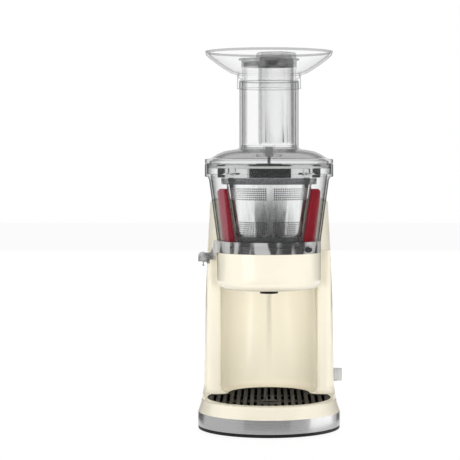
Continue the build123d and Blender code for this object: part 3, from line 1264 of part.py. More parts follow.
def main():
    os.makedirs("parts", exist_ok=True)
    front, rear = housing_and_cover()
    save("housing", front)
    save("rear_cover", rear)
    save("chassis", chassis())
    save("base_band", base_band())
    save("rubber_feet", feet())
    save("base_screws", base_screws())
    save("cover_screws", cover_screws())
    save("drip_grate", drip_grate())
    save("pulp_chute", pulp_chute())
    save("gear_case", gear_case())
    save("gear_cover", gear_cover())
    save("gear_pins", gear_pins())
    for name, shape in train().items():
        save(name, shape)
    save("drive_shaft", drive_shaft())
    save("drive_bearings", drive_bearings())
    save("motor_can", motor_can())
    save("motor_top_bell", motor_bell(CAN_Z1, CAN_Z1 + BELL_H, -1))
    save("motor_bottom_bell", motor_bell(CAN_Z0 - BELL_H, CAN_Z0, 1))
    save("stator", stator())
    save("windings", windings())
    save("rotor", rotor())
    save("motor_shaft", rod(MOTOR_SHAFT_R, FAN_Z - 2, LEVEL_1 + FACE_1, 0, MOTOR_Y))
    save("cooling_fan", cooling_fan())
    save("motor_bearings", Compound(children=[
        bearing(MOTOR_SHAFT_R, MOTOR_SHAFT_R + BEARING_WALL, z, z + BELL_H, 0, MOTOR_Y)
        for z in (CAN_Z0 - BELL_H, CAN_Z1)
    ]))
    save("motor_mounts", motor_mounts())
    save("switch_body", switch_body())
    save("switch_knob", switch_knob())
    save("control_board", control_board())
    save("cord_gland", cord_gland())
    save("bowl", bowl())
    save("bowl_seal", bowl_seal())
    save("sump_plug", plug_solid(0))
    save("spout_flap", spout_flap())
    save("spout_pin", spout_pin())
    save("strainer_cup", strainer_cup())
    save("strainer_rim", strainer_rim())
    save("brush_basket", brush_basket())
    save("basket_gear", basket_gear())
    save("wiper_left", wiper_blade(-1))
    save("wiper_right", wiper_blade(1))
    save("auger", auger())
    save("auger_gear", auger_gear())
    save("auger_pivot", auger_pivot())
    save("basket_idler_left", basket_idler(-1))
    save("basket_idler_right", basket_idler(1))
    save("idler_pins", idler_pins())
    save("lid", lid())
    save("lid_bush", lid_bush())
    save("lid_seal", lid_seal())
    save("tray", tray())
    save("pusher_large", pusher_large())
    save("pusher_small", pusher_small())


main()
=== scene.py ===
import json
from math import cos, hypot, pi, radians, sin

import bmesh
import bpy
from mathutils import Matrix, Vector


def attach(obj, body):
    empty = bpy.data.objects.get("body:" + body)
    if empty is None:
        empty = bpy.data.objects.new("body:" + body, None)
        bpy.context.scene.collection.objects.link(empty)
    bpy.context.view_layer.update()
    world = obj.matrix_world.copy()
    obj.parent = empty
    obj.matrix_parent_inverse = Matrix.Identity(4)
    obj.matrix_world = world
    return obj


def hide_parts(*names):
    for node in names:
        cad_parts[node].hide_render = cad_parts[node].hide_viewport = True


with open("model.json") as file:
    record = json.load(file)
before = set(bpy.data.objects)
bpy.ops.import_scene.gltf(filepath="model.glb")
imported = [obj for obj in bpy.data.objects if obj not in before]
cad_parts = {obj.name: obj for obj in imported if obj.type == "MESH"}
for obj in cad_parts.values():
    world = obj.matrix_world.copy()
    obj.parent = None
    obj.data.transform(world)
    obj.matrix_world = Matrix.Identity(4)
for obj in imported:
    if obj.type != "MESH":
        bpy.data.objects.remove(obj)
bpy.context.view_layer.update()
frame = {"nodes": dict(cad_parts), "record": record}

MM = 0.001
AXIS_Y = -43.0        # bowl axis in the row frame, in millimetres
ROUND = 96            # steps round the large turned pieces
SMOOTH = 35           # degrees up to which a copied moulding is shaded as one surface
GRAIN = 900.0         # noise scale of moulded grain and brushed lines
scene = bpy.context.scene
scene.view_settings.view_transform = "Standard"
scene.cycles.transparent_max_bounces = 64
scene.cycles.max_bounces = 16
scene.cycles.transmission_bounces = 16
scene.cycles.glossy_bounces = 8
scene.cycles.use_denoising = True

# ---------------------------------------------------------------- camera
camera_data = bpy.data.cameras.new("camera")
camera_data.sensor_width = 36
camera_data.lens = 133.78
camera_data.shift_x = -0.0848
camera_data.shift_y = -0.1630
camera_data.clip_end = 50
camera = bpy.data.objects.new("camera", camera_data)
camera.location = (0, AXIS_Y * MM - 2.0, 0.3185)     # two metres from the bowl axis
camera.rotation_euler = (radians(90), 0, 0)
scene.collection.objects.link(camera)
scene.camera = camera


# ---------------------------------------------------------------- modelling helpers
def object_mode():
    bpy.ops.object.mode_set(mode="OBJECT")


def nothing_selected():
    if bpy.context.object and bpy.context.object.mode != "OBJECT":
        object_mode()
    bpy.ops.object.select_all(action="DESELECT")


def only(piece):
    nothing_selected()
    piece.select_set(True)
    bpy.context.view_layer.objects.active = piece


def all_in_edit(piece):
    """Opens a piece in edit mode with all of it selected."""
    only(piece)
    bpy.ops.object.mode_set(mode="EDIT")
    bpy.ops.mesh.select_all(action="SELECT")


def picked(piece, kind, test):
    """Opens a piece in edit mode with only those of its edges or faces selected that pass a test."""
    only(piece)
    bpy.ops.object.mode_set(mode="EDIT")
    bpy.ops.mesh.select_mode(type=kind)
    bpy.ops.mesh.select_all(action="DESELECT")
    net = bmesh.from_edit_mesh(piece.data)
    for part in net.edges if kind == "EDGE" else net.faces:
        part.select_set(bool(test(part)))
    bmesh.update_edit_mesh(piece.data)


def faces_where(piece, test):
    """Selects the faces whose centre, in millimetres, and normal pass a test."""
    picked(piece, "FACE", lambda face: test(face.calc_center_median() / MM, face.normal))


def linked(name, data):
    """A new object in the scene, for a mesh or a lamp."""
    added = bpy.data.objects.new(name, data)
    scene.collection.objects.link(added)
    return added


def settle(piece, name, smooth=30):
    """Names a finished piece, puts its place into its mesh and smooths its shallow edges."""
    only(piece)
    piece.name = piece.data.name = name
    bpy.ops.object.transform_apply(location=True, rotation=True, scale=True)
    bpy.ops.object.shade_smooth_by_angle(angle=radians(smooth))
    return piece


def turned(name, outline, steps=ROUND, smooth=30, closed=True):
    """Spins an outline of (radius, height) points, in millimetres, about the bowl axis."""
    nothing_selected()
    mesh = bpy.data.meshes.new(name)
    points = [(r * MM, AXIS_Y * MM, z * MM) for r, z in outline]
    count = len(points)
    lines = [(i, (i + 1) % count) for i in range(count if closed else count - 1)]
    mesh.from_pydata(points, lines, [])
    piece = linked(name, mesh)
    all_in_edit(piece)
    bpy.ops.mesh.spin(steps=steps, angle=2 * pi, center=(0, AXIS_Y * MM, 0), axis=(0, 0, 1))
    bpy.ops.mesh.select_all(action="SELECT")
    bpy.ops.mesh.remove_doubles(threshold=1e-6)
    bpy.ops.mesh.normals_make_consistent(inside=False)
    object_mode()
    return settle(piece, name, smooth)


def soften(outline, radius, steps=4, corners=None):
    """Rounds the corners of an outline; corners picks some of them by number."""
    out = []
    count = len(outline)
    for i, (px, pz) in enumerate(outline):
        if corners is not None and i not in corners:
            out.append((px, pz))
            continue
        ax, az = outline[i - 1]
        bx, bz = outline[(i + 1) % count]
        to_a, to_b = hypot(ax - px, az - pz), hypot(bx - px, bz - pz)
        reach = min(radius, to_a * 0.45, to_b * 0.45)
        start = (px + (ax - px) * reach / to_a, pz + (az - pz) * reach / to_a)
        end = (px + (bx - px) * reach / to_b, pz + (bz - pz) * reach / to_b)
        for k in range(steps + 1):
            t = k / steps
            u, v, w = (1 - t) ** 2, 2 * t * (1 - t), t * t
            out.append((u * start[0] + v * px + w * end[0], u * start[1] + v * pz + w * end[1]))
    return out


def cube(name, x0, x1, y0, y1, z0, z1):
    """A box primitive between its faces, in millimetres."""
    nothing_selected()
    bpy.ops.mesh.primitive_cube_add(
        size=1, location=((x0 + x1) * MM / 2, (y0 + y1) * MM / 2, (z0 + z1) * MM / 2)
    )
    piece = bpy.context.object
    piece.scale = ((x1 - x0) * MM, (y1 - y0) * MM, (z1 - z0) * MM)
    bpy.ops.object.transform_apply(location=True, rotation=True, scale=True)
    piece.name = name
    return piece


def bevelled(piece, test, width, segments):
    """Bevels the edges whose two ends, in millimetres, pass a test."""
    picked(piece, "EDGE", lambda edge: test(*(v.co / MM for v in edge.verts)))
    bpy.ops.mesh.bevel(offset=width * MM, segments=segments, profile=0.5, affect="EDGES")
    object_mode()
    return piece


def modifier(piece, kind, **values):
    """Adds a modifier, sets it and applies it."""
    only(piece)
    added = piece.modifiers.new(kind.lower(), kind)
    for key, value in values.items():
        setattr(added, key, value)
    bpy.ops.object.modifier_apply(modifier=added.name)


def evened(piece):
    """Steadies the shading of large moulded faces beside their rounds."""
    modifier(piece, "WEIGHTED_NORMAL", mode="FACE_AREA_WITH_ANGLE", keep_sharp=True, weight=80)


def joined(name, pieces, smooth=30):
    """Joins pieces into the first of them."""
    nothing_selected()
    for piece in pieces:
        piece.select_set(True)
    bpy.context.view_layer.objects.active = pieces[0]
    bpy.ops.object.join()
    return settle(bpy.context.object, name, smooth)


def from_node(node, name, smooth=30):
    """A copy of a CAD node with its loose triangles merged, for a smoother finish."""
    source = frame["nodes"][node]
    twin = source.copy()
    twin.data = source.data.copy()
    twin.name = twin.data.name = name
    scene.collection.objects.link(twin)
    twin.parent = None
    all_in_edit(twin)
    bpy.ops.mesh.remove_doubles(threshold=2e-6)
    object_mode()
    twin.data.materials.clear()
    return settle(twin, name, smooth)


def foot_of(node, name, height, fill):
    """The lower part of a copied node, up to a height in millimetres."""
    piece = from_node(node, name)
    all_in_edit(piece)
    bpy.ops.mesh.bisect(
        plane_co=(0, 0, height * MM), plane_no=(0, 0, 1), use_fill=fill, clear_outer=True,
    )
    object_mode()
    return piece


# ---------------------------------------------------------------- finishes
class Finish:
    """A procedural material being built, with its node tree and main shader."""

    def __init__(self, name, colour, roughness, **sockets):
        self.material = bpy.data.materials.new(name)
        self.material.use_nodes = True
        self.tree = self.material.node_tree
        self.shader = self.tree.nodes["Principled BSDF"]
        self.output = self.tree.nodes["Material Output"]
        self.put(self.shader, "Base Color", (*colour, 1))
        self.put(self.shader, "Roughness", roughness)
        for key, value in sockets.items():
            self.put(self.shader, key.replace("_", " "), value)
        self.coords = self.add("ShaderNodeTexCoord").outputs["Object"]

    def add(self, kind, **settings):
        node = self.tree.nodes.new(kind)
        for key, value in settings.items():
            setattr(node, key, value)
        return node

    def put(self, node, name, value):
        node.inputs[name].default_value = value

    def link(self, a, b):
        self.tree.links.new(a, b)

    def axes(self):
        """Object coordinates, one axis at a time."""
        node = self.add("ShaderNodeSeparateXYZ")
        self.link(self.coords, node.inputs["Vector"])
        return node.outputs

    def noise(self, scale, stretch=(1, 1, 1), detail=3.0):
        """Noise on object coordinates, stretched along the axes with a small factor."""
        mapping = self.add("ShaderNodeMapping")
        self.put(mapping, "Scale", stretch)
        self.link(self.coords, mapping.inputs["Vector"])
        node = self.add("ShaderNodeTexNoise")
        self.put(node, "Scale", scale)
        self.put(node, "Detail", detail)
        self.link(mapping.outputs["Vector"], node.inputs["Vector"])
        return node.outputs["Fac"]

    def ramp(self, source, *stops):
        node = self.add("ShaderNodeValToRGB")
        ramp = node.color_ramp
        while len(ramp.elements) < len(stops):
            ramp.elements.new(0.5)
        for element, (place, colour) in zip(ramp.elements, stops):
            element.position = place
            element.color = (*colour, 1)
        self.link(source, node.inputs["Fac"])
        return node.outputs["Color"]

    def span(self, source, low, high, from_low=0.0, from_high=1.0, **settings):
        """A value mapped from one range to another."""
        node = self.add("ShaderNodeMapRange", **settings)
        ends = {"From Min": from_low, "From Max": from_high, "To Min": low, "To Max": high}
        for key, value in ends.items():
            self.put(node, key, value)
        self.link(source, node.inputs["Value"])
        return node.outputs["Result"]

    def math(self, kind, a, b=None):
        node = self.add("ShaderNodeMath", operation=kind)
        for socket, value in zip(node.inputs, (a, b)):
            if value is None:
                continue
            if isinstance(value, (int, float)):
                socket.default_value = value
            else:
                self.link(value, socket)
        return node.outputs["Value"]

    def bump(self, source, depth, strength):
        """Relief from a value, with its depth in millimetres."""
        node = self.add("ShaderNodeBump")
        self.put(node, "Strength", strength)
        self.put(node, "Distance", depth * MM)
        self.link(source, node.inputs["Height"])
        self.link(node.outputs["Normal"], self.shader.inputs["Normal"])

    def colour(self, socket):
        self.link(socket, self.shader.inputs["Base Color"])

    def rough(self, source, low, high):
        self.link(self.span(source, low, high), self.shader.inputs["Roughness"])


def moulded(name, colour, roughness, depth=0.02, vary=0.04, **sockets):
    """Moulded plastic: slight mottling of colour and gloss and a faint orange peel."""
    finish = Finish(name, colour, roughness, **sockets)
    dark = tuple(c * (1 - vary) for c in colour)
    finish.colour(finish.ramp(finish.noise(40.0), (0.3, dark), (0.7, colour)))
    finish.rough(finish.noise(160.0), roughness * 0.85, roughness * 1.15)
    finish.bump(finish.noise(GRAIN, detail=1.0), depth, 0.25)
    return finish.material


def brushed(name, colour, roughness, stretch, depth=0.02):
    """Brushed steel with the grain along one axis."""
    finish = Finish(name, colour, roughness, Metallic=1.0)
    lines = finish.noise(GRAIN, stretch, detail=2.0)
    dark = tuple(c * 0.88 for c in colour)
    finish.colour(finish.ramp(lines, (0.3, dark), (0.7, colour)))
    finish.rough(lines, roughness * 0.8, roughness * 1.25)
    finish.bump(lines, depth, 0.3)
    return finish.material


def clear(
    name, tint, edge, edge_at, body, side, top=0.85, turn=(0.25, 0.8), painted_white_reflection=None, zones=(),
):
    """Clear moulded plastic: see-through face on, greyer where it turns away, and dark at its edges in
    painted dark reflection.

    Body and top are how solid it looks face on and at its edges. The painted white reflection
    (share, grey, start) is a pale grey veil laid where it turns away, for the white round the piece
    that it reflects there. Each zone (share, colours, limits) is a part with more behind its surface; a
    limit is an axis with the side of a height or width, in millimetres, that it keeps, and two
    colours make it mottled, its pale patches being painted glints and highlights.
    """
    gloss = 0.06
    # The opaque part that takes over at the edges has the edge colour: a painted dark reflection of the
    # dark round the piece.
    finish = Finish(name, edge, gloss, IOR=1.5)
    facing = finish.add("ShaderNodeLayerWeight")
    finish.put(facing, "Blend", 0.5)
    away = facing.outputs["Facing"]
    through = finish.add("ShaderNodeBsdfTransparent")
    dull = tuple(c * side for c in tint)
    finish.link(finish.ramp(away, (turn[0], tint), (turn[1], dull)), through.inputs["Color"])
    amount = finish.span(away, body, top, edge_at, interpolation_type="SMOOTHERSTEP")
    shade = None
    # Painted reflection: a pale grey veil where the piece turns away, for the white that it would
    # reflect there.
    if painted_white_reflection:
        reflection_share, reflection_grey, start = painted_white_reflection
        reflection_veil = finish.span(away, 0.0, reflection_share, start, start + 0.15)
        amount = finish.math("MAXIMUM", amount, reflection_veil)
        shade = finish.ramp(away, (edge_at, (reflection_grey,) * 3), (edge_at + 0.08, edge))
    axes = finish.axes() if zones else None
    for thick, colours, limits in zones:
        inside = None
        for axis, kept, limit in limits:
            test = "GREATER_THAN" if kept > 0 else "LESS_THAN"
            here = finish.math(test, axes[axis], limit * MM)
            inside = finish.math("MULTIPLY", inside, here) if inside else here
        amount = finish.math("MAXIMUM", amount, finish.math("MULTIPLY", inside, thick))
        blend = finish.add("ShaderNodeMix", data_type="RGBA")
        under, over = (socket for socket in blend.inputs if socket.type == "RGBA")
        if shade:
            finish.link(shade, under)
        else:
            under.default_value = (*edge, 1)
        if len(colours) > 1:
            # Mottling: the pale patches are painted glints and highlights.
            glint_patches = finish.noise(80.0, (1, 1, 0.25), detail=1.0)
            finish.link(finish.ramp(glint_patches, (0.44, colours[0]), (0.54, colours[1])), over)
        else:
            over.default_value = (*colours[0], 1)
        finish.link(inside, blend.inputs["Factor"])
        shade = next(socket for socket in blend.outputs if socket.type == "RGBA")
    if shade:
        finish.colour(shade)
    mix = finish.add("ShaderNodeMixShader")
    finish.link(amount, mix.inputs["Fac"])
    finish.link(through.outputs["BSDF"], mix.inputs[1])
    finish.link(finish.shader.outputs["BSDF"], mix.inputs[2])
    finish.link(mix.outputs["Shader"], finish.output.inputs["Surface"])
    finish.rough(finish.noise(30.0), gloss * 0.8, gloss * 1.3)
    return finish.material


def wiper_with_painted_highlight(name, inner, outer):
    """Silicone wiper, dark by the basket and paler along its free edge, which leans with the basket;
    the paler edge is a painted highlight.
    """
    foot_x, foot_z, lean = 54.0, 216.0, 0.103
    finish = Finish(name, inner, 0.4, Specular_IOR_Level=0.15)
    axes = finish.axes()
    out = finish.math("ABSOLUTE", axes["X"])
    from_root = finish.math("SUBTRACT", out, finish.math("MULTIPLY", axes["Z"], lean))
    edge_at = foot_x - lean * foot_z
    band = finish.span(from_root, 0.0, 1.0, (edge_at - 8.4) * MM, (edge_at - 6.6) * MM)
    finish.colour(finish.ramp(band, (0.0, inner), (1.0, outer)))
    finish.bump(finish.noise(GRAIN, detail=1.0), 0.02, 0.25)
    return finish.material


cream = moulded(
    "cream_gloss", (0.99, 0.928, 0.765), 0.16, vary=0.012, depth=0.006,
    Coat_Weight=0.4, Coat_Roughness=0.05,
)
black_satin = moulded("black_satin", (0.008, 0.008, 0.009), 0.45, vary=0.3, Specular_IOR_Level=0.25)
grate_black = moulded(
    "grate_black", (0.012, 0.012, 0.013), 0.3, vary=0.3, depth=0.01, Specular_IOR_Level=0.004,
)
# Near black painted on the cream pan under the grate: painted shade of its recess.
pan_painted_shade = moulded("pan_painted_shade", (0.004, 0.004, 0.005), 0.5, vary=0.3, Specular_IOR_Level=0.1)
rubber_dark = moulded("rubber_dark", (0.035, 0.035, 0.036), 0.8, vary=0.25, depth=0.05)
knob_grey = moulded("knob_grey", (0.60, 0.60, 0.59), 0.4)
bush_grey = moulded("bush_grey", (0.66, 0.66, 0.65), 0.35)
flap_grey = moulded("flap_grey", (0.42, 0.42, 0.42), 0.3)
part_white = moulded("natural_plastic", (0.72, 0.72, 0.70), 0.4)
part_dark = moulded("filled_plastic", (0.07, 0.07, 0.072), 0.35, vary=0.2)
auger_dark = moulded("auger_dark", (0.045, 0.045, 0.047), 0.3, vary=0.2)
wiper_red = moulded(
    "wiper_red", (0.29, 0.003, 0.014), 0.35, vary=0.12, Specular_IOR_Level=0.12,
)
# The left wiper's paler free edge is a painted highlight; the right wiper is plain red.
wiper_left_highlit = wiper_with_painted_highlight("wiper_painted_highlight", (0.26, 0.004, 0.016), (0.44, 0.13, 0.16))
band_steel = brushed("band_steel", (0.44, 0.44, 0.44), 0.25, (0.02, 0.02, 2.2))
cone_steel = brushed("strainer_steel", (0.93, 0.93, 0.93), 0.17, (0.5, 0.5, 0.05), depth=0.006)
rim_steel = brushed("polished_rim", (0.74, 0.74, 0.74), 0.09, (0.05, 0.05, 1.5), depth=0.003)
turned_steel = brushed("turned_steel", (0.55, 0.55, 0.55), 0.3, (1.0, 1.0, 1.0))
motor_paint = moulded("motor_paint", (0.16, 0.165, 0.175), 0.45)
bronze = brushed("sintered_bronze", (0.55, 0.36, 0.16), 0.4, (1.0, 1.0, 1.0))
copper = brushed("enamelled_copper", (0.62, 0.24, 0.09), 0.35, (1.0, 1.0, 0.1))
board_green = moulded("board_green", (0.03, 0.16, 0.06), 0.4, vary=0.2)

# Where a clear piece has more behind its surface, in millimetres, and the greys that show there,
# mottled with painted glints and highlights.
SUMP_TOP = 218.5
SPOUT_ROOT_X, SPOUT_TOP = -62.2, 221.0
DOME_TOP, TUBE_RIM = 328.0, 403.6
COLLAR_STEP, DISH_RIM = 396.4, 437.2
HEAD_FOOT, HEAD_TOP = 421.5, 431.5
# Dark and pale pairs: the dark stands for the parts behind the surface, the pale patches are painted
# glints and highlights.
SUMP_PARTS_AND_GLINTS = ((0.05, 0.05, 0.052), (0.78, 0.78, 0.78))
SPOUT_GREYS_AND_HIGHLIGHTS = ((0.20, 0.20, 0.20), (0.70, 0.70, 0.69))
HEAD_GREYS_AND_HIGHLIGHTS = ((0.04, 0.04, 0.042), (0.34, 0.34, 0.34))
HEAD_ZONES = (
    (0.34, HEAD_GREYS_AND_HIGHLIGHTS, (("Z", 1, HEAD_FOOT), ("Z", -1, HEAD_TOP))),
    (0.2, HEAD_GREYS_AND_HIGHLIGHTS, (("Z", 1, HEAD_TOP),)),
)
clear_bowl = clear(
    "clear_bowl", (0.985, 0.988, 0.988), (0.025, 0.026, 0.028), 0.6, body=0.01, top=1.0, side=0.92,
    # Painted white reflection where the bowl turns away.
    painted_white_reflection=(0.22, 0.72, 0.5),
    zones=(
        (0.55, SUMP_PARTS_AND_GLINTS, (("Z", -1, SUMP_TOP),)),
        (0.5, SPOUT_GREYS_AND_HIGHLIGHTS, (("X", -1, SPOUT_ROOT_X), ("Z", -1, SPOUT_TOP))),
    ),
)
clear_lid = clear(
    "clear_lid", (0.995, 0.996, 0.996), (0.14, 0.145, 0.15), 0.62, body=0.008, top=0.95, side=0.87,
    turn=(0.38, 0.46),
    zones=(
        (0.07, ((0.20, 0.20, 0.20),), (("Z", -1, DOME_TOP),)),
        (0.3, ((0.25, 0.25, 0.25),), (("Z", 1, TUBE_RIM),)),
    ),
)
clear_tray = clear(
    "clear_tray", (0.994, 0.995, 0.995), (0.10, 0.103, 0.106), 0.72, body=0.015, top=0.8, side=0.93,
    turn=(0.5, 0.9),
    zones=(
        (0.3, ((0.12, 0.12, 0.12),), (("Z", 1, DISH_RIM),)),
        (0.26, ((0.35, 0.35, 0.35),), (("Z", -1, COLLAR_STEP),)),
    ),
)
clear_pusher = clear(
    "clear_pusher", (0.998, 0.998, 0.998), (0.08, 0.083, 0.086), 0.75, body=0.003, side=0.93,
    turn=(0.42, 0.5), zones=HEAD_ZONES,
)
clear_core = clear(
    "clear_core", (0.998, 0.998, 0.998), (0.08, 0.083, 0.086), 0.75, body=0.003, side=0.92,
    turn=(0.24, 0.34), zones=HEAD_ZONES,
)
smoke = clear(
    "smoke_frame", (0.74, 0.75, 0.75), (0.17, 0.173, 0.176), 0.5, body=0.25, side=0.8,
)
FINISH_NODES = (
    (cream, ("housing", "rear_cover")),
    (black_satin, (
        "chassis", "pulp_chute", "switch_body", "cord_gland", "cooling_fan", "gear_case", "gear_cover",
    )),
    (rubber_dark, ("rubber_feet", "motor_mounts", "bowl_seal", "sump_plug")),
    (grate_black, ("drip_grate",)),
    (knob_grey, ("switch_knob",)),
    (flap_grey, ("spout_flap",)),
    (bush_grey, ("lid_bush",)),
    (part_white, ("lid_seal", "basket_idler_left", "basket_idler_right", "auger_gear")),
    (part_dark, ("basket_gear",)),
    (auger_dark, ("auger",)),
    (wiper_red, ("wiper_left", "wiper_right")),
    (turned_steel, (
        "drive_shaft", "motor_shaft", "motor_pinion", "gear_pins", "auger_pivot", "idler_pins",
        "spout_pin", "base_screws", "cover_screws", "first_gear", "second_gear", "transfer_gear",
        "output_gear", "stator", "rotor",
    )),
    (motor_paint, ("motor_can", "motor_top_bell", "motor_bottom_bell")),
    (bronze, ("motor_bearings", "drive_bearings")),
    (copper, ("windings",)),
    (board_green, ("control_board",)),
    (band_steel, ("base_band",)),
    (cone_steel, ("strainer_cup",)),
    (rim_steel, ("strainer_rim",)),
    (smoke, ("brush_basket",)),
    (clear_bowl, ("bowl",)),
    (clear_lid, ("lid",)),
    (clear_tray, ("tray",)),
    (clear_pusher, ("pusher_large",)),
    (clear_core, ("pusher_small",)),
)
NODE_FINISH = {node: finish for finish, nodes in FINISH_NODES for node in nodes}
for node, finish in NODE_FINISH.items():
    data = frame["nodes"][node].data
    data.materials.clear()
    data.materials.append(finish)


# ---------------------------------------------------------------- pieces
BODY_OF = {
    node: body for body, nodes in frame["record"]["behaviour"]["bodies"].items() for node in nodes
}


def stand_in(piece, finish, node):
    """Gives a piece its finish and the body of the node it stands for, and hides that node."""
    piece.data.materials.clear()
    piece.data.materials.append(finish)
    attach(piece, BODY_OF[node])
    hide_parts(node)
    return piece


def eased(node, width, finish):
    """A merged copy of a node with its flat faces whole again and its sharp edges bevelled."""
    smooth = 40
    piece = from_node(node, node + "_look", smooth)
    all_in_edit(piece)
    bpy.ops.mesh.dissolve_limited(angle_limit=radians(0.5))
    object_mode()
    modifier(
        piece, "BEVEL", width=width * MM, segments=2, limit_method="ANGLE",
        angle_limit=radians(35), use_clamp_overlap=True,
    )
    stand_in(settle(piece, node + "_look", smooth), finish, node)


def strainer():
    """Strainer cone of thin sheet with two bands of fine holes and a plain strip at its front."""
    foot_z, root_z, top_z, root_r, top_r, rim_r = 221.0, 219.5, 292.5, 36.3, 47.2, 59.6
    bands = ((225.2, 241.8, 7), (266.1, 280.7, 6))   # low, high and rows of holes
    plain_x, plain_half, web, sheet = 1.0, 4.2, 0.42, 0.7
    heights = [foot_z]
    for low, high, rows in bands:
        heights += [low + (high - low) * k / rows for k in range(rows + 1)]
    heights.append(top_z)

    def radius(z):
        return root_r + (top_r - root_r) * (z - root_z) / (top_z - root_z)

    outline = [(radius(z), z) for z in heights]
    outline += [(radius(top_z) + 1.5, top_z + 0.5), (rim_r, top_z + 0.5)]
    wall = turned("strainer_wall", outline, steps=112, closed=False)

    def holed(place, normal):
        in_band = any(low < place.z < high for low, high, rows in bands)
        plain = place.y < AXIS_Y and abs(place.x - plain_x) < plain_half
        return in_band and not plain

    faces_where(wall, holed)
    bpy.ops.mesh.inset(thickness=web * MM, use_individual=True)
    bpy.ops.mesh.delete(type="FACE")
    object_mode()
    modifier(wall, "SOLIDIFY", thickness=sheet * MM, offset=-1)
    foot = foot_of("strainer_cup", "strainer_foot", foot_z, fill=False)
    stand_in(joined("strainer_look", [wall, foot]), cone_steel, "strainer_cup")


def chassis():
    """Black base, whose underside comes down to a lip just above the worktop."""
    underside_z, drop = 2.2, 1.3
    piece = from_node("chassis", "chassis_look", SMOOTH)
    faces_where(piece, lambda place, normal: place.z < underside_z and normal.z < -0.9)
    bpy.ops.transform.translate(value=(0, 0, -drop * MM))
    object_mode()
    stand_in(piece, black_satin, "chassis")


def bowl():
    """Clear bowl: a leaning wall with a stepped rim, on the moulded floor with its duct and spout."""
    wall_foot_z, gap = 219.35, 0.05
    wall = turned("bowl_wall", soften([
        (60.8, wall_foot_z), (70.3, 289.6), (72.2, 293.1), (75.2, 293.1), (75.2, 308.3),
        (72.7, 308.3), (72.7, 296.0), (68.6, 296.0), (67.8, 289.6), (58.3, wall_foot_z),
    ], 0.9, corners=(1, 3, 4, 5, 6, 7, 8)))
    foot = foot_of("bowl", "bowl_foot", wall_foot_z - gap, fill=True)
    stand_in(joined("bowl_look", [wall, foot]), clear_bowl, "bowl")


def lid():
    """Clear lid: skirt, flange, dome and feed tube in one turn, and the bridge that holds the bush."""
    dome_out = [
        (34.6, 327.0), (37.5, 325.6), (44.5, 324.6), (53.3, 322.9), (61.0, 319.4), (68.0, 314.9),
    ]
    dome_in = [(r - 0.9, z - 2.5) for r, z in reversed(dome_out[1:])]
    tube = [(32.1, 324.5), (32.1, 405.0), (34.6, 405.0)]
    flange_and_skirt = [
        (75.1, 313.8), (75.1, 308.6), (72.4, 308.6), (72.4, 303.1), (69.9, 303.1), (69.9, 311.3),
    ]
    shell = turned("lid_shell", soften(
        tube + dome_out + flange_and_skirt + dome_in,
        0.9, corners=(1, 2, 3, 8, 9, 10, 11, 12, 13, 14, 15),
    ), smooth=50)
    ledge = turned("tube_ledge", soften(
        [(29.1, 327.0), (32.4, 327.0), (32.4, 330.0), (29.1, 330.0)], 0.6,
    ))
    hub = turned("bridge_hub", soften([
        (4.5, 316.5), (15.0, 316.5), (15.0, 319.5), (6.5, 319.5),
        (6.5, 330.0), (0.0, 330.0), (0.0, 328.5), (4.5, 328.5),
    ], 0.7, corners=(1, 2, 3, 4)))
    hub_x, tube_x, half, low_z, high_z = 6.0, 32.6, 2.0, 325.0, 330.0
    bars = []
    for side in (-1, 1):
        near, far = sorted((side * hub_x, side * tube_x))
        bar = cube("bridge_bar", near, far, AXIS_Y - half, AXIS_Y + half, low_z, high_z)
        bars.append(bevelled(bar, lambda a, b: abs(a.x - b.x) > 5, 0.8, 3))   # its long edges
    stand_in(joined("lid_look", [shell, ledge, hub] + bars), clear_lid, "lid")


def tray():
    """Clear dish with a rounded rim, on the collar that stands on the feed tube."""
    outside = [
        (37.4, 395.4), (37.4, 411.8), (44.0, 413.8), (50.0, 417.2), (59.0, 423.1), (69.5, 431.0),
        (73.6, 435.0), (74.8, 440.0),
    ]
    inside = [
        (72.6, 440.0), (71.4, 436.3), (67.9, 432.7), (57.8, 425.0), (49.0, 419.2), (43.2, 415.9),
        (36.8, 414.0), (36.1, 412.5), (36.1, 408.4),
    ]
    collar_step = [(33.3, 407.4), (33.3, 405.3), (34.9, 405.3), (34.9, 395.4)]
    dish = turned("tray_look", soften(outside + inside + collar_step, 1.0))
    stand_in(dish, clear_tray, "tray")


def housing():
    """The body, closed beside the drum, with the pan under the grate painted near black as the shade in
    that recess.
    """
    drum_x, wing_x, wall_y, wall, low_z, high_z = 39.5, 63.0, 44.1, 2.5, 164.5, 203.0
    walls = [from_node("housing", "housing_look", SMOOTH)]
    front_y = AXIS_Y + wall_y
    for side in (-1, 1):
        near, far = sorted((side * drum_x, side * wing_x))
        walls.append(cube("drum_back_wall", near, far, front_y, front_y + wall, low_z, high_z))
    piece = stand_in(joined("housing_look", walls, SMOOTH), cream, "housing")
    evened(piece)
    piece.data.materials.append(pan_painted_shade)

    pan_r, pan_y, pan_low, pan_high, well_half, well_back = 73.4, 4.0, 25.0, 34.6, 50, 90

    def in_pan(place, normal):
        y = place.y - AXIS_Y
        in_round = hypot(place.x, y - pan_y) < pan_r
        in_well = abs(place.x) < well_half and 0 < y < well_back
        return pan_low < place.z < pan_high and (in_round or in_well)

    # The pan's floor and walls under the grate take the painted shade.
    faces_where(piece, in_pan)
    piece.active_material_index = 1
    bpy.ops.object.material_slot_assign()
    object_mode()


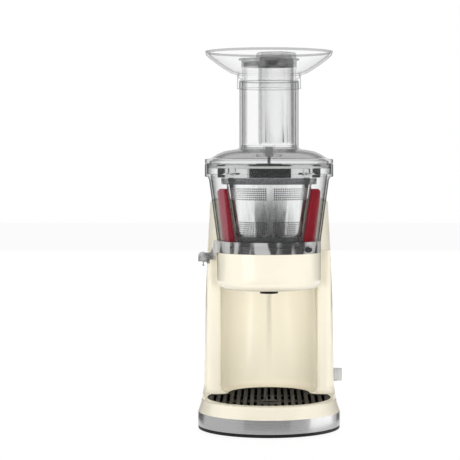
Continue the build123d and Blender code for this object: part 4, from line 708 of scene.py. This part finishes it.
for node in (
    "rear_cover", "base_band", "rubber_feet", "pulp_chute", "sump_plug", "bowl_seal",
    "strainer_rim", "brush_basket", "basket_gear", "auger", "lid_bush", "lid_seal",
    "pusher_large", "pusher_small", "cord_gland", "spout_flap",
):
    look = stand_in(from_node(node, node + "_look", SMOOTH), NODE_FINISH[node], node)
    if node == "rear_cover":
        evened(look)
housing()
chassis()
strainer()
bowl()
lid()
tray()
eased("drip_grate", 0.5, grate_black)
eased("switch_knob", 0.6, knob_grey)
eased("wiper_right", 0.6, wiper_red)
eased("wiper_left", 0.6, wiper_left_highlit)


# ---------------------------------------------------------------- light, floor and backdrop
def either(tree, *sockets):
    """The larger of two values in a node tree."""
    node = tree.nodes.new("ShaderNodeMath")
    node.operation = "MAXIMUM"
    for socket, value in zip(node.inputs, sockets):
        tree.links.new(value, socket)
    return node.outputs["Value"]


def glow(tree, strength):
    node = tree.nodes.new("ShaderNodeEmission")
    node.inputs["Strength"].default_value = strength
    return node.outputs["Emission"]


def white_backdrop():
    """A white world for the camera and for what glass and metal show, and soft grey light elsewhere."""
    world = bpy.data.worlds.new("studio")
    scene.world = world
    world.use_nodes = True
    tree = world.node_tree
    background = tree.nodes["Background"]
    background.inputs["Color"].default_value = (1, 1, 1, 1)
    path = tree.nodes.new("ShaderNodeLightPath").outputs
    seen = either(tree, path["Is Camera Ray"], path["Is Transmission Ray"])
    shown = either(tree, seen, path["Is Glossy Ray"])
    level = tree.nodes.new("ShaderNodeMapRange")
    level.inputs["To Min"].default_value = 0.18
    level.inputs["To Max"].default_value = 1.0
    tree.links.new(shown, level.inputs["Value"])
    tree.links.new(level.outputs["Result"], background.inputs["Strength"])


def aimed(lamp, place, target):
    """Turns a lamp from its place to its target and keeps it out of reflections."""
    lamp.rotation_euler = (Vector(target) - Vector(place)).to_track_quat("-Z", "Y").to_euler()
    lamp.visible_glossy = False


def softbox(name, place, target, width, height, watts):
    data = bpy.data.lights.new(name, "AREA")
    data.shape = "RECTANGLE"
    data.size, data.size_y = width, height
    data.energy = watts
    lamp = linked(name, data)
    lamp.location = place
    aimed(lamp, place, target)


def spot(name, place, target, degrees, watts):
    """Narrow soft-edged lamp that fills the shade under the drum."""
    bpy.ops.object.light_add(type="SPOT", location=place)
    lamp = bpy.context.object
    lamp.name = name
    lamp.data.spot_size = radians(degrees)
    lamp.data.spot_blend = 0.8
    lamp.data.shadow_soft_size = 0.1
    lamp.data.energy = watts
    aimed(lamp, place, target)


def card(name, start, end, low, high, radius, shade):
    """Part of a ring of card round the object that only metal and gloss show."""
    nothing_selected()
    mesh = bpy.data.meshes.new(name)
    a = radians(start - 90)
    x, y = radius * cos(a), AXIS_Y * MM + radius * sin(a)
    mesh.from_pydata([(x, y, low), (x, y, high)], [(0, 1)], [])
    piece = linked(name, mesh)
    all_in_edit(piece)
    bpy.ops.mesh.spin(
        steps=24, angle=radians(start - end), center=(0, AXIS_Y * MM, 0), axis=(0, 0, 1),
    )
    object_mode()
    paint = bpy.data.materials.new(name)
    paint.use_nodes = True
    tree = paint.node_tree
    tree.nodes.remove(tree.nodes["Principled BSDF"])
    tree.links.new(glow(tree, shade), tree.nodes["Material Output"].inputs["Surface"])
    piece.data.materials.append(paint)
    piece.visible_camera = piece.visible_diffuse = piece.visible_shadow = False
    piece.visible_transmission = False


def pale_floor():
    """Matt floor that looks nearly white to the camera and in gloss."""
    nothing_selected()
    bpy.ops.mesh.primitive_plane_add(size=12, location=(0, 0, 0))
    floor = bpy.context.object
    floor.name = "floor"
    paint = bpy.data.materials.new("pale_floor")
    paint.use_nodes = True
    tree = paint.node_tree
    shader = tree.nodes["Principled BSDF"]
    shader.inputs["Base Color"].default_value = (0.86, 0.86, 0.86, 1)
    shader.inputs["Roughness"].default_value = 0.6
    shader.inputs["Specular IOR Level"].default_value = 0.1
    path = tree.nodes.new("ShaderNodeLightPath").outputs
    share = tree.nodes.new("ShaderNodeMath")
    share.operation = "MULTIPLY"
    share.inputs[1].default_value = 0.75
    tree.links.new(either(tree, path["Is Camera Ray"], path["Is Glossy Ray"]), share.inputs[0])
    mix = tree.nodes.new("ShaderNodeMixShader")
    tree.links.new(share.outputs["Value"], mix.inputs["Fac"])
    tree.links.new(shader.outputs["BSDF"], mix.inputs[1])
    tree.links.new(glow(tree, 1.2), mix.inputs[2])
    tree.links.new(mix.outputs["Shader"], tree.nodes["Material Output"].inputs["Surface"])
    floor.data.materials.append(paint)


white_backdrop()
pale_floor()
SIDES = ((-1, "left"), (1, "right"))
BOWL_MIDDLE = (0, AXIS_Y * MM, 0.22)
for side, hand in SIDES:
    softbox("softbox_" + hand, (side * 2.0, -0.1, 0.5), BOWL_MIDDLE, 0.9, 1.5, 16)
softbox("softbox_front", (0.0, -5.0, 0.3), (0, AXIS_Y * MM, 0.1), 4.0, 0.6, 160)
softbox("softbox_back", (0.0, 3.2, 1.4), (0, 0, 0.2), 3.0, 0.8, 60)
for side, hand in SIDES:
    far_wall = (-side * 0.012, AXIS_Y * MM + 0.03, 0.09)
    spot("niche_fill_" + hand, (side * 1.1, -2.4, 0.03), far_wall, 4.4, 34)

# Name, start and end in degrees from the front, foot, top and radius in metres, and brightness.
for row in (
    ("card_front_low", -46, 56, 0.0, 0.15, 0.4, 0.07),
    ("card_low_left", -105, -49, 0.0, 0.15, 0.4, 0.8),
    ("card_low_right", 61, 105, 0.0, 0.15, 0.4, 0.55),
    ("card_front", -46, 50, 0.16, 1.3, 1.7, 0.03),
    ("card_back_right", 112, 165, 0.0, 1.3, 1.7, 0.08),
    ("card_back_left", -165, -112, 0.0, 1.3, 1.7, 0.08),
    ("band_dark_right", 100, 122, 0.0, 0.03, 0.12, 0.2),
    ("band_dark_left", -122, -92, 0.0, 0.03, 0.12, 0.2),
    ("band_grey", -28, 24, 0.0, 0.03, 0.13, 0.62),
    ("band_pale_right", 48, 90, 0.0, 0.03, 0.13, 2.3),
    ("strip_left", -58, -30, 0.0, 0.15, 1.75, 3.0),
):
    card(*row)


# ---------------------------------------------------------------- rounding of sizes
def plain(box):
    return [[round(float(v), 6) for v in corner] for corner in box]
